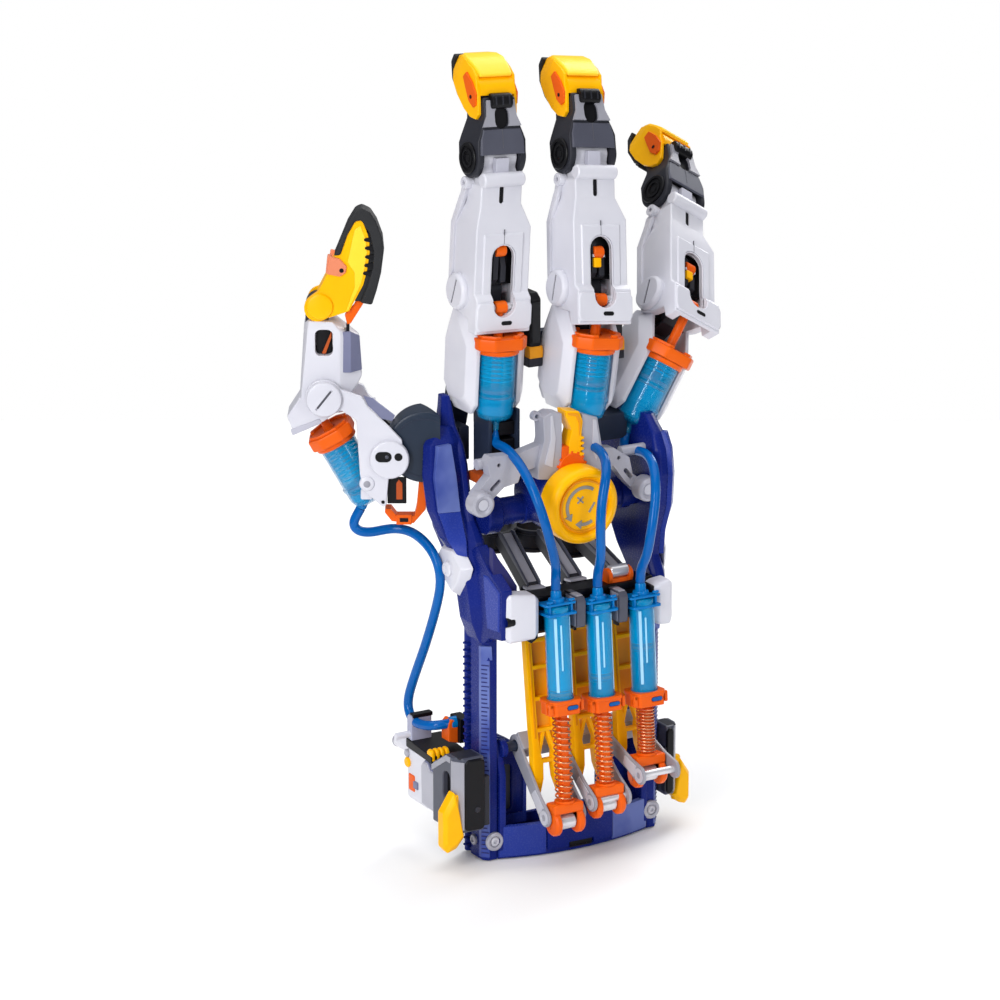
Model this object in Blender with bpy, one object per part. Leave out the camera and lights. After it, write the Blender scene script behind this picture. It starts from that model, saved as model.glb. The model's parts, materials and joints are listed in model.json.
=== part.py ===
# Hydraulic arm kit: a wearable three-finger and thumb hand driven by water cylinders.
# Units are metres in the scene; the dimensions below are in millimetres and pass through MM.
# +X is the ring-finger side, -Y the back of the hand, +Z points to the fingertips.
# The origin is the middle of the wrist opening, on the base's bottom plane.
import math

import bmesh
import bpy
from mathutils import Matrix, Vector

for old in list(bpy.data.objects):
    bpy.data.objects.remove(old, do_unlink=True)

MM = 0.001
GAP = 0.3               # clearance between pieces that touch

# --- driving dimensions (mm) -------------------------------------------------------------
RAIL_IN = 40.0          # inner face of each rail
RAIL_OUT = 47.0         # outer face of each rail
RAIL_FRONT = -33.0
RAIL_BACK = -15.0
BASE_H = 17.0
BASE_BULGE = 7.0        # how far the front band bows out
FRAME_TOP = 212.0

HUB_X = -3.0
HUB_Z = 166.0
HUB_R = 17.0
DIAL_R = 17.8
DIAL_FACE = -48.6

L_PROX = 60.0           # first finger joint to second
L_MID = 29.0            # second to third
KNUCKLE_TO_HINGE = 30.0  # splay pivot to first finger joint

# name, splay pivot (x, y, z), splay angle, then the three bend angles in degrees
FINGERS = {
    "index": ((-28.0, 0.0, 229.0), 3.0, 0.0, 11.0, 38.0),
    "middle": ((14.0, -13.0, 227.0), 7.0, 14.0, 10.0, 31.0),
    "ring": ((57.0, 0.0, 213.0), 31.0, 40.0, 9.0, 30.0),
}

OUT_R = 8.5             # output cylinder, outside
OUT_BORE = 7.2
OUT_Y = -12.0
ROD_PER_RAD = 12.4      # output rod travel for each radian of finger bend

IN_R = 5.85             # input cylinder, outside
IN_BORE = 4.9
IN_LEN = 44.0
IN_TILT = 5.0           # cylinders lean forward at the bottom
IN_PER_RAD = 26.0       # input rod travel for each radian of finger bend
IN_PIN = 101.5          # top flange to clevis pin with the finger straight
# name, x, y and z of the cylinder's top
INPUTS = {
    "index": (-19.2, -50.0, 124.0),
    "middle": (2.6, -50.0, 122.0),
    "ring": (25.2, -50.0, 120.5),
}
CRANK_PIVOT = (-30.0, 52.0)   # y and z of the shared crank shaft
CRANK_DEG = 45.0        # crank slope with the finger straight
CRANK_PER_DEG = 41.0 / 60.0
LINK_PER_RAD = 10.5
LEVER_PER_DEG = -0.5

THUMB_ORIGIN = (-52.0, 4.0)   # x and y of the thumb plane
THUMB_TURN = -30.0      # turn of the thumb plane about Z
TUBE_D = 4.4

# --- materials -----------------------------------------------------------------------------


def material(name, colour, roughness, metallic=0.0, alpha=1.0):
    mat = bpy.data.materials.new(name)
    mat.use_nodes = True
    shader = mat.node_tree.nodes["Principled BSDF"]
    shader.inputs["Base Color"].default_value = (*colour, 1.0)
    shader.inputs["Roughness"].default_value = roughness
    shader.inputs["Metallic"].default_value = metallic
    shader.inputs["Alpha"].default_value = alpha
    return mat


BLUE = material("deep_blue_plastic", (0.035, 0.045, 0.32), 0.35)
NAVY = material("navy_plastic", (0.015, 0.02, 0.06), 0.45)
WHITE = material("white_plastic", (0.78, 0.78, 0.82), 0.4)
GREY = material("grey_plastic", (0.13, 0.13, 0.15), 0.4)
SILVER = material("silver_plastic", (0.45, 0.45, 0.48), 0.35)
BLACK = material("black_plastic", (0.02, 0.02, 0.022), 0.45)
YELLOW = material("yellow_plastic", (0.9, 0.5, 0.01), 0.35)
ORANGE = material("orange_plastic", (0.85, 0.2, 0.02), 0.35)
COPPER = material("spring_copper", (0.8, 0.35, 0.18), 0.3, 1.0)
WATER = material("blue_clear_plastic", (0.0, 0.25, 0.75), 0.1, 0.0, 0.6)

# --- modelling helpers ---------------------------------------------------------------------


def place(bm, name="blank"):
    """Turn a bmesh in millimetres into a linked object in metres."""
    bmesh.ops.scale(bm, vec=(MM, MM, MM), verts=bm.verts)
    bmesh.ops.recalc_face_normals(bm, faces=bm.faces)
    mesh = bpy.data.meshes.new(name)
    bm.to_mesh(mesh)
    bm.free()
    ob = bpy.data.objects.new(name, mesh)
    bpy.context.collection.objects.link(ob)
    return ob


def axis_point(axis, a, b, c):
    """Point from two profile coordinates and the distance along the extrusion axis."""
    return {"X": (c, a, b), "Y": (a, c, b), "Z": (a, b, c)}[axis]


def prism(outline, axis, low, high):
    """Closed outline extruded along an axis: X takes (y, z), Y takes (x, z), Z takes (x, y)."""
    bm = bmesh.new()
    face = bm.faces.new([bm.verts.new(axis_point(axis, a, b, low)) for a, b in outline])
    moved = bmesh.ops.extrude_face_region(bm, geom=[face])["geom"]
    step = Vector(axis_point(axis, 0, 0, high - low))
    bmesh.ops.translate(bm, vec=step, verts=[v for v in moved if isinstance(v, bmesh.types.BMVert)])
    return place(bm)


def box(x0, x1, y0, y1, z0, z1):
    return prism([(x0, y0), (x1, y0), (x1, y1), (x0, y1)], "Z", z0, z1)


def arc(centre, radius, start, end, steps):
    """Points on an arc, angles in degrees."""
    points = []
    for i in range(steps + 1):
        angle = math.radians(start + (end - start) * i / steps)
        points.append((centre[0] + radius * math.cos(angle), centre[1] + radius * math.sin(angle)))
    return points


def disc(axis, centre, radius, low, high, sides=20):
    return prism(arc(centre, radius, 0, 360 * (sides - 1) / sides, sides - 1), axis, low, high)


def turned(profile, sides=20):
    """Closed (radius, z) profile turned about Z."""
    bm = bmesh.new()
    verts = [bm.verts.new((r, 0, z)) for r, z in profile]
    edges = [bm.edges.new((verts[i], verts[(i + 1) % len(verts)])) for i in range(len(verts))]
    bmesh.ops.spin(bm, geom=verts + edges, cent=(0, 0, 0), axis=(0, 0, 1), angle=math.tau, steps=sides,
                   use_merge=True)
    bmesh.ops.remove_doubles(bm, verts=bm.verts, dist=0.001)
    return place(bm)


def hull(points):
    bm = bmesh.new()
    for point in points:
        bm.verts.new(point)
    found = bmesh.ops.convex_hull(bm, input=bm.verts)
    spare = {g for g in found["geom_interior"] + found["geom_unused"] if isinstance(g, bmesh.types.BMVert)}
    bmesh.ops.delete(bm, geom=list(spare), context="VERTS")
    return place(bm)


def corners(x0, x1, y0, y1, z0, z1):
    return [(x, y, z) for x in (x0, x1) for y in (y0, y1) for z in (z0, z1)]


def baked(ob):
    """Replace the mesh with what its modifiers make of it."""
    graph = bpy.context.evaluated_depsgraph_get()
    mesh = bpy.data.meshes.new_from_object(ob.evaluated_get(graph))
    ob.modifiers.clear()
    ob.data = mesh
    return ob


def boolean(ob, operation, others):
    for other in others:
        mod = ob.modifiers.new("shape", "BOOLEAN")
        mod.operation = operation
        mod.solver = "EXACT"
        mod.object = other
        baked(ob)
        bpy.data.objects.remove(other, do_unlink=True)
    return ob


def join(ob, *others):
    return boolean(ob, "UNION", others)


def cut(ob, *others):
    return boolean(ob, "DIFFERENCE", others)


def common(ob, *others):
    return boolean(ob, "INTERSECT", others)


def chamfer(ob, width, angle=40.0):
    mod = ob.modifiers.new("chamfer", "BEVEL")
    mod.width = width * MM
    mod.segments = 1
    mod.limit_method = "ANGLE"
    mod.angle_limit = math.radians(angle)
    return baked(ob)


def moved(ob, x=0.0, y=0.0, z=0.0, rx=0.0, ry=0.0, rz=0.0):
    """Rotate about X, Y, Z in degrees, then move by millimetres, in the mesh itself."""
    turn = Matrix.Rotation(math.radians(rz), 4, "Z") @ Matrix.Rotation(math.radians(ry), 4, "Y")
    turn = turn @ Matrix.Rotation(math.radians(rx), 4, "X")
    ob.data.transform(Matrix.Translation((x * MM, y * MM, z * MM)) @ turn)
    return ob


def pivot(name, parent=None, at=(0.0, 0.0, 0.0), rx=0.0, ry=0.0, rz=0.0):
    """Empty that carries a moving piece; its origin is on the joint's axis."""
    empty = bpy.data.objects.new(name, None)
    bpy.context.collection.objects.link(empty)
    empty.empty_display_size = 0.01
    empty.parent = parent
    empty.location = [c * MM for c in at]
    empty.rotation_euler = (math.radians(rx), math.radians(ry), math.radians(rz))
    return empty


def piece(ob, name, mat, parent=None):
    ob.name = name
    ob.data.name = name
    ob.data.materials.clear()
    ob.data.materials.append(mat)
    ob.parent = parent
    ob.data.shade_smooth()
    ob.data.set_sharp_from_angle(angle=math.radians(35))
    return ob


# --- side frames ---------------------------------------------------------------------------


def side_frame(side):
    left = side < 0
    outline = [(RAIL_FRONT, 0), (RAIL_FRONT, 108), (-41, 117), (-41.5, 131), (-35, 146), (-31, 165)]
    if left:
        outline += [(-27, 196), (-24, FRAME_TOP), (-10, FRAME_TOP), (1, 204), (10, 192), (14, 176)]
    else:
        outline += [(-32, 186), (-31, 203), (-22, 203), (-21.5, 176), (3, 174), (5, 192), (16, 192), (17, 176)]
    outline += [(13, 160), (2, 138), (-8, 126), (RAIL_BACK, 116), (RAIL_BACK, 0)]
    shape = prism(outline, "X", -60, 60)
    front = [(RAIL_IN, 0), (RAIL_OUT, 0), (RAIL_OUT, 112), (50, 135), (50, 185), (48.5, FRAME_TOP)]
    front += [(45.5, FRAME_TOP), (45.5, 200), (RAIL_IN, 188)]
    shape = common(shape, prism([(side * x, z) for x, z in front], "Y", -60, 40))
    chamfer(shape, 1.8)
    return piece(shape, "side_frame_left" if left else "side_frame_right", BLUE)


side_frame(-1)
side_frame(1)

# --- base ----------------------------------------------------------------------------------


def base_cradle():
    half = RAIL_IN - GAP
    edge = []
    for i in range(13):
        x = -half + 2 * half * i / 12
        edge.append((x, RAIL_FRONT - BASE_BULGE * (1 - (x / half) ** 2)))
    shape = prism(edge + [(half, RAIL_BACK), (-half, RAIL_BACK)], "Z", 0, BASE_H)
    tray = [(x * 0.93, y + 3.5) for x, y in edge]
    cut(shape, prism(tray + [(37, -18), (-37, -18)], "Z", 6, 30))
    hump = [(-39.7, 10), (-18, 10), (-18, 34), (-21, 45), (-27, 52), (-39.7, 57)]
    hump = cut(prism(hump, "Y", -22, RAIL_BACK), box(-34, -26, -30, 0, 18, 40))
    join(shape, hump)
    join(shape, prism([(36, 4), (39.7, 4), (39.7, 57), (36, 57)], "Y", -35, RAIL_BACK))
    join(shape, prism([(-39.7, 15), (-36, 15), (-36, 57), (-39.7, 57)], "Y", -35, RAIL_BACK))
    join(shape, disc("X", CRANK_PIVOT, 2.4, -38, 38, 12))
    return piece(shape, "base_cradle", BLUE)


base_cradle()

# --- crossbar, hub and palm brace ------------------------------------------------------------


def crossbar_hub():
    bar_y = -18.0
    shape = disc("X", (bar_y, 160), 6.5, -RAIL_IN + GAP, RAIL_IN - GAP)
    join(shape, disc("Y", (HUB_X, HUB_Z), HUB_R, -35.5, -10, 24))
    join(shape, disc("Y", (HUB_X, HUB_Z), 4.5, -40, -30, 14))
    # silver brace: a forked yoke above the hub, an elbow arm to each side pivot
    left_arm = [(-13, 178), (-26, 187), (-33, 187), (-36, 181), (-39.7, 178), (-39.7, 170), (-33, 172), (-27, 179)]
    right_arm = [(13, 178), (24, 183), (29, 183), (35, 176), (39.7, 175), (39.7, 166), (34, 168), (27, 176), (16, 172)]
    for outline in (left_arm, right_arm):
        join(shape, prism(outline, "Y", -31, -24))
    join(shape, prism([(-13, 172), (-8.5, 176), (-8.5, 207), (-12, 207), (-15, 196), (-15, 176)], "Y", -34, -24))
    join(shape, prism([(1, 176), (13, 172), (15, 176), (15, 183), (9, 185), (1, 185)], "Y", -32, -24))
    return piece(shape, "crossbar_hub", BLUE)


crossbar_hub()

dial_pivot = pivot("dial_pivot", at=(HUB_X, DIAL_FACE, HUB_Z))
dial = disc("Y", (0, 0), DIAL_R, 0, 12.4, 32)
chamfer(dial, 1.5)
cut(dial, disc("Y", (0, 0), 14.5, -1, 1.2, 32))
cut(dial, disc("Y", (0, 0), 5.0, 7, 13, 16))
piece(dial, "dial", YELLOW, dial_pivot)

rack_pivot = pivot("rack_pivot", at=(-3.8, -31.5, 185.5))
rack = prism([(-4.3, 0), (4.3, 0), (4.3, 18), (2.5, 23), (-3, 24), (-4.3, 20)], "Y", -3.5, 3.5)
for tooth in range(5):
    z = 1.5 + 3.4 * tooth
    join(rack, prism([(-4, z), (4, z), (4, z + 1.6), (-4, z + 1.6)], "Y", -5.2, -3))
piece(rack, "adjust_rack", YELLOW, rack_pivot)

# --- knuckle bar -----------------------------------------------------------------------------


def knuckle_bar():
    y0, y1 = 12.3, 18.0
    left = corners(-34, -24, y0, y1, 222, 234)
    middle = corners(10, 18, y0, y1, 221, 232)
    right = corners(52, 60, y0, y1, 206, 219)
    shape = hull(left + middle)
    join(shape, hull(middle + right))
    join(shape, hull(left + corners(-39.7, -31, 12.6, y1, 186, 200)))
    join(shape, hull(corners(-39.7, -34, 2, y1, 180, 196)))
    join(shape, hull(corners(42, 48, y0, y1, 207, 216) + corners(42, 48, 12.6, 16, 192.4, 195)))
    # stop blocks between the fingers
    join(shape, box(-8.5, -2.6, -8, y1, 224, 256))
    join(shape, box(33.5, 40.5, -8, y1, 222, 243))
    for centre, *_ in FINGERS.values():
        x, y, z = centre
        join(shape, disc("Y", (x, z), 6.5, y + 12.3, y1))
        join(shape, disc("Y", (x, z), 2.6, y + 7.2, y + 12.6, 14))
        join(shape, disc("Y", (x, z), 4.4, y + 7.2, y + 8.7, 14))
    return piece(shape, "knuckle_bar", NAVY)


knuckle_bar()

# --- cylinder bracket ------------------------------------------------------------------------


def tube_bracket():
    shape = box(-39.7, 39.7, -43.4, -37.5, 108, 124)
    join(shape, box(-39.7, 39.7, -40, -30.5, 119, 126))
    for x in (-8.3, 13.9):
        join(shape, box(x - 2.6, x + 2.6, -54, -42, 104, 124))
    join(shape, box(-45, -28.5, -50, -42.4, 106, 127))
    join(shape, box(34.5, 46, -50, -42.4, 103, 124))
    chamfer(shape, 0.9)
    for x, y, z in INPUTS.values():
        bore = disc("Z", (0, 0), IN_R + 0.35, -60, 4, 24)
        seat = disc("Z", (0, 0), 7.4, -1.4, 12, 24)
        cut(shape, moved(bore, x, y, z, rx=-IN_TILT), moved(seat, x, y, z, rx=-IN_TILT))
    return piece(shape, "tube_bracket", BLACK)


tube_bracket()

# --- fingers ---------------------------------------------------------------------------------


def finger_mount():
    """Frame: the first finger joint; the splay pivot is KNUCKLE_TO_HINGE below it."""
    side = [(-14, -50), (-10, -54), (4, -54), (12, -46), (12, -12), (8, -9), (2, -12), (-1, -24.6), (-11, -24.6)]
    side += [(-14, -29)]
    ears = prism(side, "X", -15, 15)
    front = [(-9.5, -54), (-13, -54), (-15, -48), (-15, -27), (-12.5, -20), (-12, -8), (-9.5, -8)]
    front_right = [(-x, z) for x, z in front]
    inner = prism([(-9.4, -60), (9.4, -60), (9.4, 0), (-9.4, 0)], "Y", -20, 8.9)
    outer = prism(front[1:6] + [(12, -8), *front_right[1:5][::-1]], "Y", -20, 20)
    shape = cut(common(ears, outer), inner)
    chamfer(shape, 1.0)
    tongue = [(9, -25), (11.9, -25), (11.9, -14), (6, -1.5), *arc((0, 0), 6, -14, 180, 9), (-4.5, -9), (0.5, -15)]
    tongue += [(0.5, -20)]
    join(shape, prism(tongue, "X", -4.5, 4.5))
    cut(shape, disc("X", (0, 0), 2.8, -10, 10, 14))
    cut(shape, disc("Y", (0, -KNUCKLE_TO_HINGE), 2.9, 5, 20, 14))
    return shape


def output_cylinder(straight=True):
    """Frame: the first finger joint; the thumb's has its own elbow in place of the straight nozzle."""
    profile = [(OUT_R, -23.9), (OUT_R, -54), (6.5, -57)]
    if straight:
        profile += [(2.3, -57.5), (2.3, -62), (0.9, -62), (0.9, -55.5)]
    else:
        profile += [(0.9, -57), (0.9, -55.5)]
    profile += [(OUT_BORE, -54), (OUT_BORE, -23.9)]
    shape = moved(turned(profile, 14), y=OUT_Y)
    eight = [(-11.2, -4.5), (-6, -9.5), (6, -9.5), (11.2, -4.5), (11.2, 4.5), (6, 9.5), (-6, 9.5), (-11.2, 4.5)]
    cap = prism([(x, OUT_Y + y) for x, y in eight], "Z", -24.2, -17.2)
    cut(cap, disc("Z", (0, OUT_Y), 2.4, -30, 0, 10), disc("Z", (0, OUT_Y), OUT_BORE, -30, -19.5, 14))
    join(shape, cap)
    return shape


def output_rod(push):
    """Frame: the first finger joint; push is how far the rod stands out."""
    shape = disc("Z", (0, OUT_Y), 1.9, -44 + push, -6 + push, 12)
    join(shape, disc("Z", (0, OUT_Y), 6.6, -47 + push, -43 + push, 14))
    join(shape, disc("X", (OUT_Y, -6 + push), 1.9, -7, 7, 12))
    return shape


def proximal():
    side = [(-16, -17), (-16, -1.5), (-13, 1), (-13, 30), (-9.5, 40), (-9.5, 51), (-5.5, 56)]
    side += arc((0, L_PROX), 6.5, 180, 0, 8) + [(6.5, 52), (9, 44), (9, 2), (7, -7), (0, -9.5), (-8, -11)]
    side += [(-9, -17)]
    front = [(-14, -17), (-14, 30), (-10.5, 40), (-10.5, 48), (-9, 50), (-9, 70)]
    shape = common(prism(side, "X", -20, 20), prism(front + [(-x, z) for x, z in front[::-1]], "Y", -20, 20))
    chamfer(shape, 1.6)
    inside = [(-14.3, -20), (-14.3, -1), (-11.4, 2), (-11.4, 28), (0, 34), (20, 30), (20, -20)]
    cut(shape, prism(inside, "X", -9.5, 9.5))
    window = arc((0, 16.5), 4.5, 0, 180, 6) + arc((0, -4.5), 4.5, 180, 360, 6)
    cut(shape, prism(window, "Y", -20, -5))
    cut(shape, box(-1.3, 1.3, -20, -6.5, 41, 48))
    join(shape, disc("X", (0, 0), 2.5, -12, 12, 14))
    join(shape, disc("X", (0, 0), 8.2, -16.8, -12, 16))
    join(shape, disc("X", (0, 0), 6.5, 12, 15.4, 12))
    cut(shape, disc("X", (0, L_PROX), 2.6, -12, 12, 14))
    return shape


def middle_phalanx():
    side = arc((0, 0), 9, 180, 360, 10) + [(8.5, 10), (6.5, 24)] + arc((0, L_MID), 5.6, 0, 120, 5)
    side += [(-8.8, L_MID + 4), (-8.8, 24), (-9.6, 10)]
    front = [(-12.3, -10), (-12.3, 10), (-8.2, 20), (-8.2, 40)]
    shape = common(prism(side, "X", -20, 20), prism(front + [(-x, z) for x, z in front[::-1]], "Y", -20, 20))
    chamfer(shape, 0.9)
    cut(shape, box(-9.3, 9.3, -20, 20, -12, 7.6))
    cut(shape, box(-2, 2, -20, -3, 14, 22))
    join(shape, disc("X", (0, 0), 2.2, -10, 10, 14))
    cut(shape, disc("X", (0, L_MID), 2.4, -12, 12, 14))
    return shape


def fingertip():
    side = [(-8.3, -1), (-9.4, 6), (-8.6, 15), (-5, 21.5), (0, 24.5), (5, 24), (10, 17), (11.5, 7), (9, 2)]
    side += arc((0, 0), 6.5, 340, 190, 6)
    front = [(-10, -10), (-10, 15), (-8.5, 21), (-5.5, 26)]
    shape = common(prism(side, "X", -20, 20), prism(front + [(-x, z) for x, z in front[::-1]], "Y", -20, 20))
    chamfer(shape, 1.2)
    slot = [(-20, -12), (20, -12), (20, 6.4), (-3, 6.4), (-6, 9.5), (-20, 9.5)]
    cut(shape, prism(slot, "X", -8.5, 8.5))
    join(shape, disc("X", (0, 0), 2.0, -9, 9, 14))
    return shape


for finger, (knuckle, splay, bend, bend_mid, bend_tip) in FINGERS.items():
    splay_pivot = pivot(finger + "_splay_pivot", at=knuckle, ry=splay)
    hinge_frame = pivot(finger + "_hinge_frame", splay_pivot, (0, 0, KNUCKLE_TO_HINGE))
    piece(finger_mount(), finger + "_mount", WHITE, hinge_frame)
    piece(output_cylinder(), finger + "_output_cylinder", WATER, hinge_frame)
    piece(output_rod(ROD_PER_RAD * math.radians(bend)), finger + "_output_rod", ORANGE, hinge_frame)
    bend_pivot = pivot(finger + "_bend_pivot", hinge_frame, rx=-bend)
    piece(proximal(), finger + "_proximal", WHITE, bend_pivot)
    mid_pivot = pivot(finger + "_mid_pivot", bend_pivot, (0, 0, L_PROX), rx=-bend_mid)
    piece(middle_phalanx(), finger + "_middle_phalanx", GREY, mid_pivot)
    tip_pivot = pivot(finger + "_tip_pivot", mid_pivot, (0, 0, L_MID), rx=-bend_tip)
    piece(fingertip(), finger + "_fingertip", YELLOW, tip_pivot)

# --- input units -----------------------------------------------------------------------------


def input_cylinder():
    """Frame: the top flange, hanging down -Z."""
    profile = [(0.8, 6), (2.3, 6), (2.3, 1), (7, 1), (7, -1), (IN_R, -1), (IN_R, -IN_LEN), (IN_BORE, -IN_LEN)]
    profile += [(IN_BORE, -2), (0.8, -2)]
    shape = turned(profile, 12)
    collar = [(-9, -4), (-6, -7.5), (6, -7.5), (9, -4), (9, 4), (6, 7.5), (-6, 7.5), (-9, 4)]
    collar = prism(collar, "Z", -IN_LEN - 7, -IN_LEN + 0.2)
    cut(collar, disc("Z", (0, 0), 3.5, -60, 0, 10), disc("Z", (0, 0), IN_BORE, -IN_LEN - 3, 0, 12))
    join(shape, collar)
    return shape


def input_rod(pin):
    """Frame: the top flange; pin is the distance down to the clevis pin."""
    piston = -pin + 62
    shape = disc("Z", (0, 0), 2.6, -pin + 6, piston, 10)
    join(shape, disc("Z", (0, 0), IN_BORE - 0.45, piston - 4, piston, 12))
    join(shape, chamfer(box(-7.7, 7.7, -4.4, 4.4, -pin + 4.3, -pin + 9.5), 1.0))
    for side in (-1, 1):
        join(shape, disc("X", (0, -pin), 5.6, min(side * 4.2, side * 7.4), max(side * 4.2, side * 7.4), 12))
    join(shape, disc("X", (0, -pin), 2.6, -5, 5, 10))
    return shape


def spring(top, bottom, turns=7, per_turn=7):
    """Wire helix between two heights, closed at both ends."""
    bm = bmesh.new()
    rings = []
    count = turns * per_turn
    for i in range(count + 1):
        angle = math.tau * i / per_turn
        z = top - 0.8 + (bottom - top + 1.6) * i / count
        ring = []
        for dr, dz in ((0.45, 0), (0, 0.45), (-0.45, 0), (0, -0.45)):
            ring.append(bm.verts.new(((3.7 + dr) * math.cos(angle), (3.7 + dr) * math.sin(angle), z + dz)))
        rings.append(ring)
    for first, second in zip(rings, rings[1:]):
        for k in range(4):
            bm.faces.new((first[k], first[(k + 1) % 4], second[(k + 1) % 4], second[k]))
    bm.faces.new(rings[0])
    bm.faces.new(rings[-1])
    return place(bm)


def crank(slope):
    """Two-armed crank about its shaft; slope in degrees below the horizontal, toward -Y."""
    arm = arc((0, 0), 5.5, -60, 60, 6) + [(-18, 5.5), (-32, 4), (-40, 2), (-41, -3), (-32, -5), (-18, -6)]
    shape = prism(arm, "X", -10.6, 10.6)
    cut(shape, prism([(-60, -20), (-4.5, -20), (-4.5, 20), (-60, 20)], "X", -8.4, 8.4))
    cut(shape, disc("X", (0, 0), 2.7, -20, 20, 14))
    return moved(shape, rx=slope)


def truss_link():
    """Frame: the lower pin, rising along +Z behind the cylinder."""
    shape = box(-7.6, -5.6, -2, 2, -1, 66)
    join(shape, box(5.6, 7.6, -2, 2, -1, 66))
    for z in (5, 22, 38, 54, 64):
        join(shape, box(-6, 6, -1.4, 1.4, z - 1, z + 1))
    join(shape, hull([(-6, -1.2, 6), (-6, 1.2, 6), (-6, -1.2, 8), (-6, 1.2, 8), (-1, -1.2, 21), (-1, 1.2, 21),
                      (1, -1.2, 22), (1, 1.2, 22)]))
    join(shape, hull([(6, -1.2, 6), (6, 1.2, 6), (6, -1.2, 8), (6, 1.2, 8), (-1, -1.2, 22), (-1, 1.2, 22),
                      (1, -1.2, 21), (1, 1.2, 21)]))
    return shape


def ring_lever():
    """Finger strap and loop about the lever's pivot."""
    strap = [(3, -2), (-3, -2), (-3, 3), (20, 20), (25, 20), (25, 15)]
    shape = prism(strap, "X", -4, 4)
    loop = moved(turned([(8.4, -5), (10.6, -5), (10.6, 5), (8.4, 5)], 14), y=34, z=18, rx=15)
    join(shape, loop)
    cut(shape, disc("X", (0, 0), 1.5, -10, 10, 10))
    return shape


for finger, (x, y, z) in INPUTS.items():
    bend = FINGERS[finger][2]
    pin = IN_PIN - IN_PER_RAD * math.radians(bend)
    frame = pivot(finger + "_input_frame", at=(x, y, z), rx=-IN_TILT)
    piece(input_cylinder(), finger + "_input_cylinder", WATER, frame)
    piece(input_rod(pin), finger + "_input_rod", ORANGE, frame)
    piece(spring(-IN_LEN - 7.4, -pin + 9.8), finger + "_spring", COPPER, frame)
    crank_pivot = pivot(finger + "_crank_pivot", at=(x, *CRANK_PIVOT))
    piece(crank(CRANK_DEG - CRANK_PER_DEG * bend), finger + "_crank", SILVER, crank_pivot)
    link_pivot = pivot(finger + "_link_pivot", at=(x, -42.5, 38 + LINK_PER_RAD * math.radians(bend)), rx=-8)
    piece(truss_link(), finger + "_truss_link", YELLOW, link_pivot)
    lever_pivot = pivot(finger + "_lever_pivot", at=(x, -26, 124), rx=LEVER_PER_DEG * bend)
    piece(ring_lever(), finger + "_ring_lever", GREY, lever_pivot)

# --- thumb -----------------------------------------------------------------------------------
# Frame of the thumb: X to the right in the thumb's plane, Z up, Y away from the back of the hand.
THUMB_SWING = (-19.3, 185.6)
THUMB_BEND = (-48.2, 213.6)
THUMB_TIP = (-50.8, 254.3)
THUMB_CYL = (-29.8, 166.6)
THUMB_LEAN = -29.4

thumb_frame = pivot("thumb_frame", at=(*THUMB_ORIGIN, 0), rz=THUMB_TURN)

drum = disc("Y", (-5, 190), 16.5, -8.6, 8.6, 24)
join(drum, disc("Y", THUMB_SWING, 6, -8.6, 8.6, 16))
join(drum, box(-8, 8, -8.6, 8.6, 176, 204))
chamfer(drum, 0.8)
cut(drum, moved(box(-1.3, 60, -80, 80, 150, 230), rz=-THUMB_TURN))
cut(drum, disc("Y", THUMB_SWING, 2.9, -20, 20, 14))
piece(drum, "thumb_drum", NAVY, thumb_frame)


def thumb_bracket():
    """Frame: the swing axis."""
    outline = [(-38.4, 206), *arc(THUMB_BEND, 7, 250, 60, 8), (-33.4, 215.5), (-29.7, 211.2), (-18.7, 200.8)]
    outline += [(-12.5, 194), (-11.5, 178), (-14.5, 161), (-20.6, 160), (-31, 168), (-34, 181), (-34.6, 194)]
    shape = prism(outline, "Y", -11.7, -9.2)
    join(shape, prism(outline, "Y", 9.2, 11.7))
    join(shape, box(-30, -25, -9.6, 9.6, 196, 205))
    join(shape, box(-18, -13.5, -9.6, 9.6, 161.5, 169))
    join(shape, disc("Y", THUMB_SWING, 8, -13.6, -11.4, 24))
    join(shape, disc("Y", THUMB_SWING, 2.6, -12, 12, 14))
    cut(shape, disc("Y", THUMB_BEND, 2.8, -20, 20, 14))
    return moved(shape, x=-THUMB_SWING[0], z=-THUMB_SWING[1])


def thumb_phalanx():
    """Frame: the bend axis."""
    outline = [(-57, 247), (-59.5, 211), (-65, 204.5), (-62, 196.2), (-48.7, 202.1), (-38, 207.4), (-31.6, 221.8)]
    outline += [(-33, 239.5), (-41, 245.5), (-47, 246)]
    shape = chamfer(prism(outline, "Y", -8.7, 8.7), 1.2)
    cut(shape, prism([(-59.3, 190), (-40, 196), (-43.5, 207.6), (-54, 209.5), (-58.6, 206.5)], "Y", -7.5, 7.5))
    window = [(-52.5, 229), (-46, 229), (-45, 231), (-45, 240), (-47, 242), (-51, 242), (-53, 240)]
    cut(shape, prism(window, "Y", -20, 20))
    join(shape, disc("Y", THUMB_TIP, 5.6, -5, 5, 18), box(-55.8, -46.5, -5, 5, 245, 254))
    join(shape, disc("Y", THUMB_BEND, 2.5, -12.5, 12.5, 14))
    join(shape, disc("Y", THUMB_BEND, 7.6, -14.4, -12, 20), disc("Y", THUMB_BEND, 7.6, 12, 14.4, 20))
    cut(shape, disc("Y", THUMB_TIP, 2.3, -10, 10, 14))
    return moved(shape, x=-THUMB_BEND[0], z=-THUMB_BEND[1])


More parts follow.
